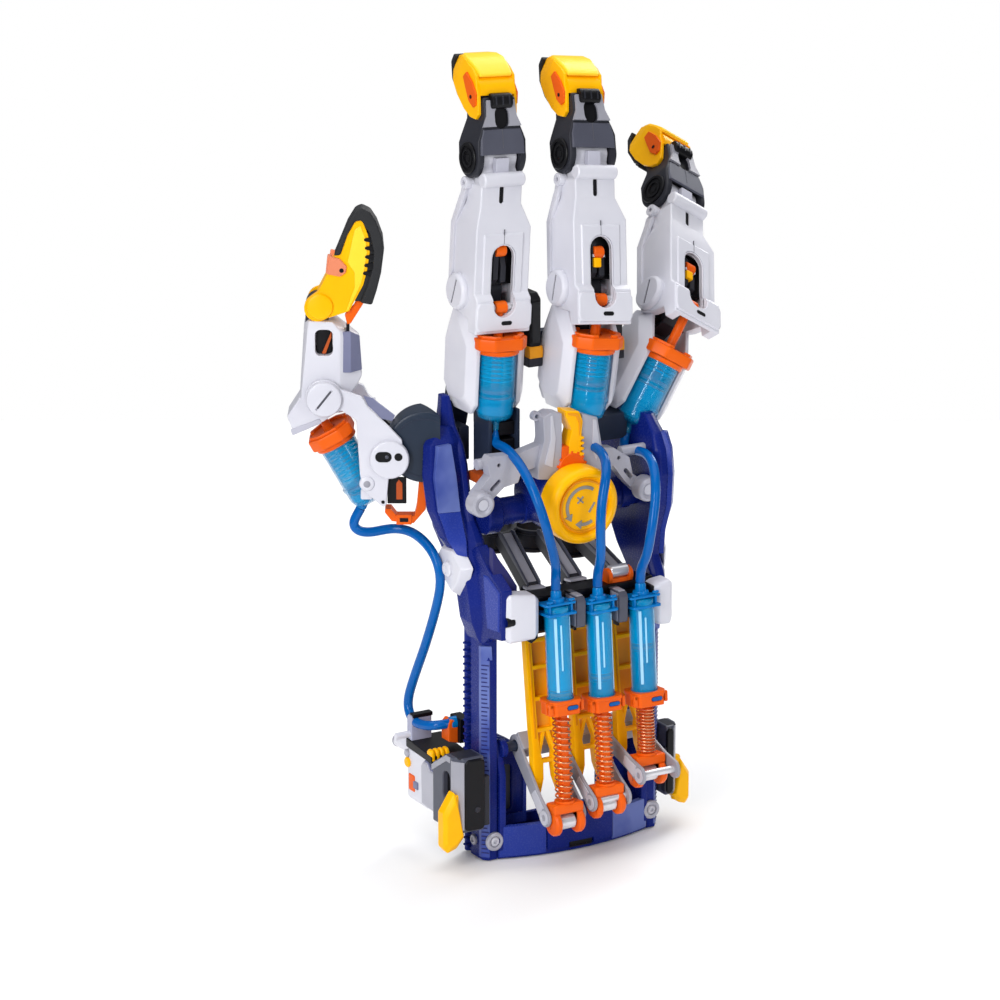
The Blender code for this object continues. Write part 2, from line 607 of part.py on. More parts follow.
def thumb_tip():
    """Frame: the tip's axis."""
    outline = [(-53.8, 260.5), (-48.7, 266.6), (-48, 277), (-44.9, 281), (-39.1, 291), (-33.4, 299), (-27.6, 297)]
    outline += [(-22, 281), (-22.6, 268), (-27, 254.8), (-33.4, 255), (-38, 250.8), (-44, 249.5)]
    outline += arc(THUMB_TIP, 6.2, 300, 120, 8)
    shape = chamfer(prism(outline, "Y", -8.7, 8.7), 1.2)
    slot = [(-60, 240), (-37, 240), (-37, 249.6), (-42.5, 251.5), (-42.5, 257), (-47, 261.5), (-60, 261.5)]
    cut(shape, prism(slot, "Y", -5.3, 5.3))
    join(shape, disc("Y", THUMB_TIP, 2.0, -6, 6, 14))
    return moved(shape, x=-THUMB_TIP[0], z=-THUMB_TIP[1])


swing_pivot = pivot("thumb_swing_pivot", thumb_frame, (THUMB_SWING[0], 0, THUMB_SWING[1]))
piece(thumb_bracket(), "thumb_bracket", WHITE, swing_pivot)
cylinder_at = (THUMB_CYL[0] - THUMB_SWING[0], 0, THUMB_CYL[1] - THUMB_SWING[1])
thumb_cylinder_frame = pivot("thumb_cylinder_frame", swing_pivot, cylinder_at, ry=THUMB_LEAN)
shape = moved(output_cylinder(False), y=-OUT_Y, z=53.4)
join(shape, moved(disc("Z", (0, 0), 2.3, -9, 0, 14), x=1.0, z=1.0, ry=50))
cut(shape, disc("Z", (0, 0), OUT_BORE, -0.6, 20, 14))
piece(moved(shape, rz=90), "thumb_output_cylinder", WATER, thumb_cylinder_frame)
rod = moved(output_rod(-3.9), y=-OUT_Y, z=53.4)
piece(moved(rod, rz=90), "thumb_output_rod", ORANGE, thumb_cylinder_frame)
bend_at = (THUMB_BEND[0] - THUMB_SWING[0], 0, THUMB_BEND[1] - THUMB_SWING[1])
thumb_bend_pivot = pivot("thumb_bend_pivot", swing_pivot, bend_at)
piece(thumb_phalanx(), "thumb_phalanx", WHITE, thumb_bend_pivot)
tip_at = (THUMB_TIP[0] - THUMB_BEND[0], 0, THUMB_TIP[1] - THUMB_BEND[1])
thumb_tip_pivot = pivot("thumb_tip_pivot", thumb_bend_pivot, tip_at)
piece(thumb_tip(), "thumb_tip", YELLOW, thumb_tip_pivot)

# --- slider clamps, wing levers and the thumb's input ----------------------------------------


def slider_clamp(side, outer, z0, z1):
    def across(a, b):
        return sorted((side * a, side * b))
    clear = RAIL_OUT + 0.4
    shape = box(*across(clear, outer), -38, -8, z0, z1)
    join(shape, box(*across(RAIL_IN + 2.5, clear + 1), RAIL_BACK + 0.4, -8, z0, z1))
    join(shape, box(*across(clear - 2, clear + 1), -38, RAIL_FRONT - 0.4, z0, z1))
    chamfer(shape, 1.6)
    return shape


def wing_lever(side):
    """Frame: the wing's upright axis."""
    outline = [(1, 16), (3, 18), (9.5, 6), (9.5, -9), (6, -12.5), (1, -12.5)]
    shape = prism([(side * x, z) for x, z in outline], "Y", -2.6, 2.6)
    join(shape, disc("Z", (0, 0), 2.0, -12.5, 16, 12))
    return chamfer(shape, 0.6)


piece(slider_clamp(-1, 60, 12, 52), "slider_clamp_left", GREY)
piece(slider_clamp(1, 55, 14, 51), "slider_clamp_right", GREY)
piece(wing_lever(-1), "wing_lever_left", YELLOW, pivot("wing_left_pivot", at=(-62.6, -34, 24)))
piece(wing_lever(1), "wing_lever_right", YELLOW, pivot("wing_right_pivot", at=(57.6, -30, 20)))


def thumb_input_housing():
    shape = box(-63, -50, -7.6, 14, 19, 52)
    cut(shape, box(-59.5, -53, -3, 9, 47, 60))
    chamfer(shape, 1.4)
    join(shape, box(-53, -41, -5.5, 4, 46, 54.5))
    join(shape, box(-46.5, -40.5, -13, -1, 52.4, 65))
    join(shape, disc("X", (-6, 59), 2.3, -49, -46, 12))
    cut(shape, disc("Y", (-56, 41), 3.4, -5.5, 30, 14))
    return shape


piece(thumb_input_housing(), "thumb_input_housing", GREY)
plunger = disc("Y", (0, 0), 3.0, -11, 14, 14)
join(plunger, disc("Y", (0, 0), 4.4, 14, 17, 16))
piece(plunger, "thumb_input_plunger", WHITE, pivot("thumb_plunger_pivot", at=(-56, 15, 41)))

# --- tubes -----------------------------------------------------------------------------------


def smooth_route(points, samples):
    """Even samples of a Catmull-Rom curve through the route's points."""
    points = [Vector(p) for p in points]
    padded = [points[0] * 2 - points[1], *points, points[-1] * 2 - points[-2]]
    fine = []
    for i in range(1, len(padded) - 2):
        p0, p1, p2, p3 = padded[i - 1:i + 3]
        for k in range(24):
            t = k / 24
            fine.append(0.5 * (2 * p1 + (p2 - p0) * t + (2 * p0 - 5 * p1 + 4 * p2 - p3) * t * t
                               + (3 * p1 - p0 - 3 * p2 + p3) * t ** 3))
    fine.append(points[-1])
    length = [0.0]
    for a, b in zip(fine, fine[1:]):
        length.append(length[-1] + (b - a).length)
    result = []
    k = 0
    for i in range(samples):
        target = length[-1] * i / (samples - 1)
        while k < len(fine) - 2 and length[k + 1] < target:
            k += 1
        part = (target - length[k]) / max(length[k + 1] - length[k], 1e-9)
        result.append(fine[k].lerp(fine[k + 1], min(part, 1.0)))
    return result


def tube(name, route, samples):
    curve = bpy.data.curves.new(name, "CURVE")
    curve.dimensions = "3D"
    curve.bevel_depth = TUBE_D / 2 * MM
    curve.bevel_resolution = 2
    curve.use_fill_caps = True
    spline = curve.splines.new("POLY")
    points = smooth_route(route, samples)
    spline.points.add(len(points) - 1)
    for target, point in zip(spline.points, points):
        target.co = (*(point * MM), 1.0)
    curve.materials.append(WATER)
    ob = bpy.data.objects.new(name, curve)
    bpy.context.collection.objects.link(ob)
    return ob


TUBE_VIA = {
    "index": [(-31.5, -22, 192.5), (-32.5, -34, 191), (-33, -46, 185.5), (-32, -56, 174), (-28, -58.5, 158),
              (-22.5, -55.5, 143)],
    "middle": [(10, -33, 189), (8.5, -45, 187.5), (4, -54.5, 182), (-0.5, -57.5, 170), (-1.2, -58, 155),
               (1, -55, 141)],
    "ring": [(36.6, -23, 180.5), (36.4, -34, 182.5), (34, -46, 180), (29.5, -55, 167), (25.6, -57.5, 152),
             (24.6, -55, 138)],
}
for finger, (knuckle, splay, *_) in FINGERS.items():
    turn = Matrix.Rotation(math.radians(splay), 3, "Y")
    start = Vector(knuckle) + turn @ Vector((0, OUT_Y, KNUCKLE_TO_HINGE - 62.4))
    lead = start + turn @ Vector((0, -0.6, -7))
    turn = Matrix.Rotation(math.radians(-IN_TILT), 3, "X")
    end = Vector(INPUTS[finger]) + turn @ Vector((0, 0, 6.5))
    tail = end + turn @ Vector((0, 0, 7.5))
    tube(finger + "_tube", [start, lead, *TUBE_VIA[finger], tail, end], 15)

turn = Matrix.Rotation(math.radians(THUMB_TURN), 3, "Z")
route = []
lean = math.radians(THUMB_LEAN)
nozzle = math.radians(THUMB_LEAN + 50)
foot = Vector((THUMB_CYL[0] + math.cos(lean) + math.sin(lean), 0, THUMB_CYL[1] - math.sin(lean) + math.cos(lean)))
start = foot - 9.3 * Vector((math.sin(nozzle), 0, math.cos(nozzle)))
step = start - foot
for x, y, z in (start, start + step * 0.35, (-37.5, 0, 152), (-34, 0, 147.8), (-27, 1, 147.6), (-19, 3, 149)):
    route.append(Vector((*THUMB_ORIGIN, 0)) + turn @ Vector((x, y, z)))
route += [(-60, 8, 148), (-56.8, -5, 141), (-55.5, -9, 130), (-55.5, -5, 116), (-56, 4, 96), (-57, 14, 76), (-58, 18.5, 63)]
route += [(-58.5, 14, 57), (-58.8, 6, 56.5), (-57.6, -2, 58), (-55.4, -5.8, 59), (-49.5, -6, 59)]
tube("thumb_tube", route, 30)
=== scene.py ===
# Looks of the hydraulic arm kit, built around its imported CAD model.
# Lengths inside the builders are in millimetres; frames are rigid matrices in metres.
import json
import math

import bmesh
import bpy
from mathutils import Matrix, Vector


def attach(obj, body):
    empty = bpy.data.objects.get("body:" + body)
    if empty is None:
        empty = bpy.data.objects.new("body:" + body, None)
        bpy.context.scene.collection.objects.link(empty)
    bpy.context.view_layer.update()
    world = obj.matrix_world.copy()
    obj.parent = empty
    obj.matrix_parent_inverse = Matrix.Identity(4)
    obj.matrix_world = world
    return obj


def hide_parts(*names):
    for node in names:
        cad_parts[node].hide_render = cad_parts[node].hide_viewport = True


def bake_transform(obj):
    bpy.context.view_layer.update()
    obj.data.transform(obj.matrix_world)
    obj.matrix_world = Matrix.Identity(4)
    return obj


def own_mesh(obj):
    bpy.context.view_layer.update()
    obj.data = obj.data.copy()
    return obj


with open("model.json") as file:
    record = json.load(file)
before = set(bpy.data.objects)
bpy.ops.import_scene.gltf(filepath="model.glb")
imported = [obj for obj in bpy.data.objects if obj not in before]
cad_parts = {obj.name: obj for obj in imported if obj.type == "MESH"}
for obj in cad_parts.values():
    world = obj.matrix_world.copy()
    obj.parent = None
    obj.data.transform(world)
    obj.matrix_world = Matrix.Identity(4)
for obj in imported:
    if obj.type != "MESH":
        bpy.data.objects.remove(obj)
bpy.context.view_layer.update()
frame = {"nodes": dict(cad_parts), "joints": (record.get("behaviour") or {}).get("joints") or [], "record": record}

MM = 0.001
CREASE = 30.0      # bevels take the edges sharper than this, in degrees
SHARP = 34.0       # shading breaks at edges sharper than this, in degrees
NODE_EDGE = 0.0004     # bevel of a plain CAD node, in metres
DISC_SIDES = 40
TUBE_SIDES = 18
FINGERS = ("index", "middle", "ring")
JOINTS = {joint["name"]: joint for joint in frame["joints"]}

# --- camera, light and floor ---

camera_data = bpy.data.cameras.new("camera")
camera_data.lens = 160
camera_data.sensor_width = 36
camera_data.clip_end = 50
camera = bpy.data.objects.new("camera", camera_data)
bpy.context.collection.objects.link(camera)
camera.location = (-0.98757548, -1.67683801, 0.73286201)
camera.rotation_euler = (math.radians(73.5), 0, math.radians(-30))
bpy.context.scene.camera = camera

world = bpy.data.worlds.new("studio")
world.use_nodes = True
sky = world.node_tree
ambient = sky.nodes["Background"]
ambient.inputs["Color"].default_value = (0.93, 0.95, 1, 1)
ambient.inputs["Strength"].default_value = 0.22
backdrop = sky.nodes.new("ShaderNodeBackground")
backdrop.inputs["Color"].default_value = (1, 1, 1, 1)
seen = sky.nodes.new("ShaderNodeLightPath")
choose = sky.nodes.new("ShaderNodeMixShader")
sky.links.new(seen.outputs["Is Camera Ray"], choose.inputs["Fac"])
sky.links.new(ambient.outputs["Background"], choose.inputs[1])
sky.links.new(backdrop.outputs["Background"], choose.inputs[2])
sky.links.new(choose.outputs["Shader"], sky.nodes["World Output"].inputs["Surface"])
bpy.context.scene.world = world
bpy.context.scene.view_settings.view_transform = "Standard"


LIT_POINT = Vector((0, 0, 0.18))


def softbox(name, location, size, power):
    data = bpy.data.lights.new(name, "AREA")
    data.shape = "RECTANGLE"
    data.size, data.size_y = size
    data.energy = power
    lamp = bpy.data.objects.new(name, data)
    bpy.context.collection.objects.link(lamp)
    lamp.location = location
    lamp.rotation_euler = (LIT_POINT - Vector(location)).to_track_quat("-Z", "Y").to_euler()


softbox("top", (0, 0.3, 2.6), (3.6, 3.6), 68)
softbox("key", (-1.25, -0.75, 0.75), (0.35, 1), 13)
softbox("strip", (-1.5, -1.5, 0.55), (0.06, 1.5), 5)
softbox("fill", (0.25, -1.5, 0.7), (0.25, 1.1), 5)
softbox("rim", (0.9, 0.5, 0.8), (0.4, 0.9), 7)

# --- materials ---


def plastic(name, colour, dark=None, roughness=0.35, metallic=0.0, patch=30.0, grain=1400.0, bump=0.03,
        coat=0.0, alpha=1.0, spread=0.5, glow=0.0, specular=0.28):
    """Moulded plastic: slow colour drift, fine moulding grain and uneven gloss."""
    mat = bpy.data.materials.new(name)
    mat.use_nodes = True
    tree = mat.node_tree
    shader = tree.nodes["Principled BSDF"]
    coords = tree.nodes.new("ShaderNodeTexCoord")
    drift = tree.nodes.new("ShaderNodeTexNoise")
    drift.inputs["Scale"].default_value = patch
    drift.inputs["Detail"].default_value = 3.0
    tree.links.new(coords.outputs["Object"], drift.inputs["Vector"])
    ramp = tree.nodes.new("ShaderNodeValToRGB")
    dark = dark or tuple(c * 0.82 for c in colour)
    ramp.color_ramp.elements[0].position = 0.5 - spread / 2
    ramp.color_ramp.elements[0].color = (*dark, 1.0)
    ramp.color_ramp.elements[1].position = 0.5 + spread / 2
    ramp.color_ramp.elements[1].color = (*colour, 1.0)
    tree.links.new(drift.outputs["Fac"], ramp.inputs["Fac"])
    tree.links.new(ramp.outputs["Color"], shader.inputs["Base Color"])
    fine = tree.nodes.new("ShaderNodeTexNoise")
    fine.inputs["Scale"].default_value = grain
    fine.inputs["Detail"].default_value = 4.0
    tree.links.new(coords.outputs["Object"], fine.inputs["Vector"])
    gloss = tree.nodes.new("ShaderNodeMapRange")
    gloss.inputs["To Min"].default_value = max(roughness - 0.02, 0.02)
    gloss.inputs["To Max"].default_value = roughness + 0.04
    tree.links.new(fine.outputs["Fac"], gloss.inputs["Value"])
    tree.links.new(gloss.outputs["Result"], shader.inputs["Roughness"])
    relief = tree.nodes.new("ShaderNodeBump")
    relief.inputs["Strength"].default_value = bump
    relief.inputs["Distance"].default_value = 0.0002
    tree.links.new(fine.outputs["Fac"], relief.inputs["Height"])
    tree.links.new(relief.outputs["Normal"], shader.inputs["Normal"])
    shader.inputs["Metallic"].default_value = metallic
    shader.inputs["Specular IOR Level"].default_value = specular
    shader.inputs["Coat Weight"].default_value = coat
    shader.inputs["Alpha"].default_value = alpha
    # glow paints light: the surface gives off its own colour though it is no lamp
    if glow:
        shader.inputs["Emission Color"].default_value = (*colour, 1.0)
        shader.inputs["Emission Strength"].default_value = glow
    return mat


BLUE = plastic("deep_blue_plastic_look", (0.007, 0.019, 0.2), (0.004, 0.011, 0.13), 0.26, specular=0.12,
    bump=0.02)
NAVY = plastic("navy_plastic_look", (0.022, 0.032, 0.06), (0.012, 0.016, 0.034), 0.4)
WHITE = plastic("white_plastic_look", (0.7, 0.7, 0.76), (0.6, 0.6, 0.67), 0.34, coat=0.2)
# white in painted shade
WHITE_SHADE = plastic("white_painted_shade_look", (0.52, 0.52, 0.6), (0.44, 0.44, 0.52), 0.38)
SEAM = plastic("seam_shadow_look", (0.12, 0.12, 0.14), (0.08, 0.08, 0.1), 0.6)
GREY = plastic("dark_grey_plastic_look", (0.028, 0.029, 0.038), (0.018, 0.019, 0.026), 0.38, specular=0.2)
GREY_SHADE = plastic("mid_grey_plastic_look", (0.085, 0.09, 0.122), (0.06, 0.062, 0.086), 0.34)
# pale grey for small parts, also standing in for painted shade on the crank arms and painted sheen on the slider's
# chamfer and rim
PALE = plastic("pale_grey_plastic_and_painted_light_look", (0.36, 0.36, 0.41), (0.26, 0.26, 0.3), 0.34)
SILVER = plastic("silver_plastic_look", (0.46, 0.46, 0.52), (0.34, 0.34, 0.4), 0.3, metallic=0.15)
BLACK = plastic("black_plastic_look", (0.005, 0.005, 0.007), (0.003, 0.003, 0.004), 0.36, specular=0.2)
RUBBER = plastic("black_rubber_look", (0.02, 0.021, 0.024), (0.013, 0.014, 0.016), 0.62, grain=2200, bump=0.15)
# the yellow glows faintly: painted light
YELLOW = plastic("yellow_plastic_painted_glow_look", (0.98, 0.5, 0), (0.9, 0.4, 0), 0.3, specular=0.16, glow=0.06)
ORANGE = plastic("orange_plastic_look", (0.88, 0.14, 0.006), (0.72, 0.09, 0.004), 0.3, specular=0.16)
COPPER = plastic("spring_copper_look", (0.95, 0.45, 0.25), (0.8, 0.3, 0.14), 0.25, metallic=0.9, bump=0.02)
PIN = plastic("bright_pin_look", (0.75, 0.75, 0.78), (0.62, 0.62, 0.66), 0.22, metallic=0.5)
HOSE = plastic("blue_tube_look", (0, 0.12, 0.44), (0, 0.08, 0.32), 0.14, bump=0.02, specular=0.2)
CLEAR = plastic("clear_blue_plastic_look", (0, 0.36, 0.68), (0, 0.26, 0.56), 0.07, coat=0.3, bump=0.0, patch=60,
    alpha=0.5, specular=0.4)
# water that glows as if lit from behind: painted light
WATER_PAINTED_GLOW = plastic("blue_water_painted_glow_look", (0, 0.48, 0.8), (0, 0.16, 0.46), 0.3, bump=0.0, patch=42, glow=0.2,
    spread=0.26, specular=0.05)
# darker blue with a faint painted glow
DEEP_BLUE_PAINTED_GLOW = plastic("deep_blue_painted_glow_look", (0, 0.14, 0.42), (0, 0.08, 0.3), 0.3, bump=0.0, patch=60, glow=0.08,
    specular=0.05)
HOSE_LIGHT = plastic("light_blue_plastic_look", (0, 0.22, 0.58), (0, 0.14, 0.44), 0.14, bump=0.02,
    specular=0.25)
# two lighter blues that paint the sheen on facets and edges catching the light
BLUE_SHEEN = plastic("blue_painted_sheen_look", (0.12, 0.165, 0.44), (0.035, 0.06, 0.3), 0.28, patch=34, spread=0.2,
    specular=0.2)
BLUE_DIM_SHEEN = plastic("blue_dim_painted_sheen_look", (0.024, 0.05, 0.34), (0.012, 0.028, 0.22), 0.26, specular=0.2, bump=0.02)
GLINT = plastic("pale_glint_look", (0.62, 0.86, 1), (0.4, 0.74, 0.95), 0.2, bump=0.0, alpha=0.5, glow=0.12)
NAVY_GREY = plastic("slate_plastic_look", (0.016, 0.028, 0.052), (0.01, 0.018, 0.036), 0.34)
# lighter lavender for a white side in painted shade
LAVENDER_SIDE_SHADE = plastic("lavender_painted_shade_side_look", (0.42, 0.43, 0.56), (0.34, 0.35, 0.48), 0.38)
LAVENDER = plastic("lavender_shade_look", (0.2, 0.21, 0.33), (0.14, 0.15, 0.25), 0.36)
SLATE = plastic("slate_grey_plastic_look", (0.075, 0.08, 0.11), (0.05, 0.054, 0.078), 0.32)
# lit copy of the yellow that also glows: painted highlight
YELLOW_HIGHLIGHT = plastic("yellow_painted_highlight_look", (1, 0.64, 0.04), (0.98, 0.54, 0.01), 0.28, specular=0.24,
    glow=0.12)
SALMON = plastic("salmon_clip_look", (0.78, 0.25, 0.13), (0.66, 0.19, 0.09), 0.34)
NAVY_BLUE = plastic("blue_inside_look", (0.015, 0.015, 0.14), (0.01, 0.01, 0.09), 0.35)
# darker yellow that paints shade in grooves, recesses and undersides
YELLOW_SHADE = plastic("yellow_painted_shade_look", (0.86, 0.36, 0.004), (0.74, 0.26, 0.002), 0.34)
MARK = plastic("grey_mark_look", (0.3, 0.29, 0.26), (0.24, 0.23, 0.21), 0.4)
PALE_SILVER = plastic("pale_silver_look", (0.56, 0.56, 0.62), (0.48, 0.48, 0.54), 0.34)
# darker orange that paints shade in slits, recesses and behind things
ORANGE_SHADE = plastic("orange_painted_shade_look", (0.5, 0.09, 0.01), (0.4, 0.06, 0.008), 0.45)

FRAME_LOOKS = {"deep_blue_plastic": BLUE, "navy_plastic": NAVY, "white_plastic": WHITE, "grey_plastic": GREY,
    "silver_plastic": SILVER, "black_plastic": BLACK, "yellow_plastic": YELLOW, "orange_plastic": ORANGE,
    "spring_copper": COPPER, "blue_clear_plastic": CLEAR}
SLOT_OF = {part["node"]: part["material_slot"] for part in frame["record"]["subparts"]}
for name, node in frame["nodes"].items():
    node.data.materials.clear()
    node.data.materials.append(FRAME_LOOKS[SLOT_OF[name]])
    if not name.endswith(("_tube", "_spring")):
        soft = node.modifiers.new("edges", "BEVEL")
        soft.width = NODE_EDGE
        soft.segments = 2
        soft.limit_method = "ANGLE"
        soft.angle_limit = math.radians(CREASE)
        soft.harden_normals = True

# --- modelling helpers, all in millimetres ---


def solid(bm):
    bmesh.ops.recalc_face_normals(bm, faces=bm.faces)
    data = bpy.data.meshes.new("blank")
    bm.to_mesh(data)
    bm.free()
    ob = bpy.data.objects.new("blank", data)
    bpy.context.collection.objects.link(ob)
    return ob


def along(axis, a, b, c):
    return {"X": (c, a, b), "Y": (a, c, b), "Z": (a, b, c)}[axis]


def prism(outline, axis, low, high):
    """Outline extruded along an axis: X takes (y, z), Y takes (x, z), Z takes (x, y)."""
    bm = bmesh.new()
    face = bm.faces.new([bm.verts.new(along(axis, a, b, low)) for a, b in outline])
    grown = bmesh.ops.extrude_face_region(bm, geom=[face])["geom"]
    step = Vector(along(axis, 0, 0, high - low))
    bmesh.ops.translate(bm, vec=step, verts=[v for v in grown if isinstance(v, bmesh.types.BMVert)])
    return solid(bm)


def box(x0, x1, y0, y1, z0, z1):
    return prism([(x0, y0), (x1, y0), (x1, y1), (x0, y1)], "Z", z0, z1)


def arc(centre, radius, start, end, steps):
    angles = [math.radians(start + (end - start) * i / steps) for i in range(steps + 1)]
    return [(centre[0] + radius * math.cos(a), centre[1] + radius * math.sin(a)) for a in angles]


def disc(axis, centre, radius, low, high):
    return prism(arc(centre, radius, 0, 360 * (DISC_SIDES - 1) / DISC_SIDES, DISC_SIDES - 1), axis, low, high)


def obround(centre, width, height, sides=10):
    """Slot outline with round ends, taller than wide, or wider than tall."""
    a, b = centre
    if height >= width:
        r, reach = width / 2, (height - width) / 2
        return arc((a, b + reach), r, 0, 180, sides) + arc((a, b - reach), r, 180, 360, sides)
    r, reach = height / 2, (width - height) / 2
    return arc((a + reach, b), r, -90, 90, sides) + arc((a - reach, b), r, 90, 270, sides)


def turned(profile, sides=48, axis="Z"):
    """Closed (radius, height) profile turned about an axis through the origin."""
    bm = bmesh.new()
    verts = [bm.verts.new((r, 0, z)) for r, z in profile]
    edges = [bm.edges.new((verts[i], verts[(i + 1) % len(verts)])) for i in range(len(verts))]
    bmesh.ops.spin(bm, geom=verts + edges, cent=(0, 0, 0), axis=(0, 0, 1), angle=math.tau, steps=sides,
        use_merge=True)
    bmesh.ops.remove_doubles(bm, verts=bm.verts, dist=0.001)
    ob = solid(bm)
    if axis == "X":
        ob.data.transform(Matrix.Rotation(math.radians(90), 4, "Y"))
    elif axis == "Y":
        ob.data.transform(Matrix.Rotation(math.radians(-90), 4, "X"))
    return ob


def rod(r, low, high, sides=48, axis="Z"):
    """Plain round pin along an axis."""
    return turned([(0, low), (r, low), (r, high), (0, high)], sides, axis)


def even(half):
    """Closed outline from its lower half, the upper half being its mirror image."""
    return half + [(r, -z) for r, z in half[::-1]]


def both(outline):
    """Closed outline from its left half, the right half being its mirror image."""
    return outline + [(-x, z) for x, z in outline[::-1]]


def hull(points):
    bm = bmesh.new()
    for point in points:
        bm.verts.new(point)
    found = bmesh.ops.convex_hull(bm, input=bm.verts)
    spare = {g for g in found["geom_interior"] + found["geom_unused"] if isinstance(g, bmesh.types.BMVert)}
    bmesh.ops.delete(bm, geom=list(spare), context="VERTS")
    bmesh.ops.dissolve_limit(bm, angle_limit=math.radians(1), verts=bm.verts, edges=bm.edges)
    return solid(bm)


def corners(x0, x1, y0, y1, z0, z1):
    return [(x, y, z) for x in (x0, x1) for y in (y0, y1) for z in (z0, z1)]


def layers(axis, *rings):
    """Hull through outlines at several depths: each ring is (outline, depth)."""
    return hull([along(axis, a, b, c) for outline, c in rings for a, b in outline])


def scaled(outline, factor):
    """Outline scaled about its middle."""
    centre = (sum(a for a, b in outline) / len(outline), sum(b for a, b in outline) / len(outline))
    return [(centre[0] + (a - centre[0]) * factor, centre[1] + (b - centre[1]) * factor) for a, b in outline]


def baked(ob):
    graph = bpy.context.evaluated_depsgraph_get()
    data = bpy.data.meshes.new_from_object(ob.evaluated_get(graph))
    ob.modifiers.clear()
    ob.data = data
    return ob


def soften(ob, width, segments=2, angle=CREASE):
    edge = ob.modifiers.new("edge", "BEVEL")
    edge.width = width
    edge.segments = segments
    edge.limit_method = "ANGLE"
    edge.angle_limit = math.radians(angle)
    return baked(ob)


def boolean(ob, operation, others):
    for other in others:
        mod = ob.modifiers.new("shape", "BOOLEAN")
        mod.operation = operation
        mod.solver = "EXACT"
        mod.object = other
        baked(ob)
        bpy.data.objects.remove(other, do_unlink=True)
    return ob


def cut(ob, *others):
    return boolean(ob, "DIFFERENCE", others)


def common(ob, *others):
    return boolean(ob, "INTERSECT", others)


def turn_by(rx, ry, rz):
    turn = Matrix.Rotation(math.radians(rz), 4, "Z") @ Matrix.Rotation(math.radians(ry), 4, "Y")
    return turn @ Matrix.Rotation(math.radians(rx), 4, "X")


def moved(ob, x=0.0, y=0.0, z=0.0, rx=0.0, ry=0.0, rz=0.0):
    ob.data.transform(Matrix.Translation((x, y, z)) @ turn_by(rx, ry, rz))
    return ob


def mirrored(ob):
    """Mirror across X in the mesh itself."""
    ob.data.transform(Matrix.Scale(-1, 4, (1, 0, 0)))
    ob.data.flip_normals()
    return ob


class Parts(list):
    """Finished solids of one piece, each with its look."""

    def add(self, look, ob, *soft):
        """Takes a solid in; numbers after it are its softened edge's width, segments and angle."""
        self.append((soften(ob, *soft) if soft else ob, look))


def assemble(name, body, at, parts, replaces=()):
    """Joins finished parts into one piece, places it and lets it ride on its body, where it has one."""
    joined = bmesh.new()
    looks = []
    for ob, look in parts:
        if look not in looks:
            looks.append(look)
        first = len(joined.faces)
        joined.from_mesh(ob.data)
        joined.faces.ensure_lookup_table()
        for face in joined.faces[first:]:
            face.material_index = looks.index(look)
        bpy.data.objects.remove(ob, do_unlink=True)
    bmesh.ops.transform(joined, matrix=at @ Matrix.Scale(MM, 4), verts=joined.verts)
    data = bpy.data.meshes.new(name)
    joined.to_mesh(data)
    joined.free()
    for look in looks:
        data.materials.append(look)
    data.shade_smooth()
    data.set_sharp_from_angle(angle=math.radians(SHARP))
    piece = bpy.data.objects.new(name, data)
    bpy.context.collection.objects.link(piece)
    weighted = piece.modifiers.new("flat faces", "WEIGHTED_NORMAL")
    weighted.keep_sharp = True
    if body:
        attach(piece, body)
    if replaces:
        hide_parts(*replaces)
    return piece


def cover(node, body, at, parts, slot):
    """Piece that stands in for the CAD node of the same name."""
    return assemble(f"{node}_look", body, at, parts, [node])


def axes_at(origin, x, z):
    x = Vector(x).normalized()
    z = Vector(z).normalized()
    placed = Matrix((x, z.cross(x), z)).transposed().to_4x4()
    placed.translation = Vector(origin)
    return placed


HERE = Matrix.Identity(4)

# --- fingers ---

PISTON = {"index": 0.0, "middle": 3.03, "ring": 8.66}     # how far each output rod stands out
TIP_BEND = {"index": 38.0, "middle": 31.0, "ring": 30.0}
OUT_Y = -12.0


def finger_frames(name):
    """Frames of the mount, first, middle and tip phalanges."""
    bend, middle, tip = (JOINTS[f"{name}_{which}"] for which in ("bend", "middle_joint", "tip_joint"))
    knuckle = Vector(JOINTS[f"{name}_splay"]["pos_m"])
    hinge, second, third = (Vector(joint["pos_m"]) for joint in (bend, middle, tip))
    across = -Vector(bend["axis"])
    curl = Matrix.Rotation(math.radians(TIP_BEND[name]), 3, Vector(tip["axis"]))
    return (axes_at(hinge, across, hinge - knuckle), axes_at(hinge, across, second - hinge),
        axes_at(second, across, third - second), axes_at(third, across, curl @ (third - second)))


def ear():
    """Bevelled eight-sided cheek on the right of the mount."""
    plate = [(-14, -50), (-10, -54.5), (4, -54.5), (12, -46), (12.4, -20), (8.5, -9), (-4, -7.5), (-14, -20)]
    cheek = layers("X", (plate, 9.7), (plate, 11.6), (scaled(plate, 0.72), 15.2))
    return soften(cheek, 0.5)


def mount(name, at):
    parts = Parts()
    parts.add(WHITE, ear())
    parts.add(WHITE, mirrored(ear()))
    back = prism([(-9.5, -53.5), (9.5, -53.5), (12, -48), (12, -24), (9.5, -12), (-9.5, -12), (-12, -24),
        (-12, -48)], "Y", 8.9, 12)
    cut(back, disc("Y", (0, -30), 2.9, 0, 20))
    tongue = [(9, -25), (11.9, -25), (11.9, -14), (6, -1.5), *arc((0, 0), 6, -14, 180, 16), (-4.5, -9),
        (0.5, -15)]
    tongue = cut(prism(tongue + [(0.5, -20)], "X", -4.5, 4.5), disc("X", (0, 0), 2.8, -10, 10))
    parts.add(WHITE, back, 0.8)
    parts.add(GREY, tongue, 0.6)
    for x in (-6, 0, 6):
        parts.add(PALE, box(x - 0.5, x + 0.5, 11.8, 12.8, -47, -36), 0.3)
    washer = turned([(3.1, 0), (4.9, 0), (5.3, 0.5), (5.3, 1.2), (3.1, 1.2)], axis="Y")
    parts.add(PALE, moved(washer, y=11.9, z=-30))
    cover(f"{name}_mount", f"{name}_mount", at, parts, "white_plastic")


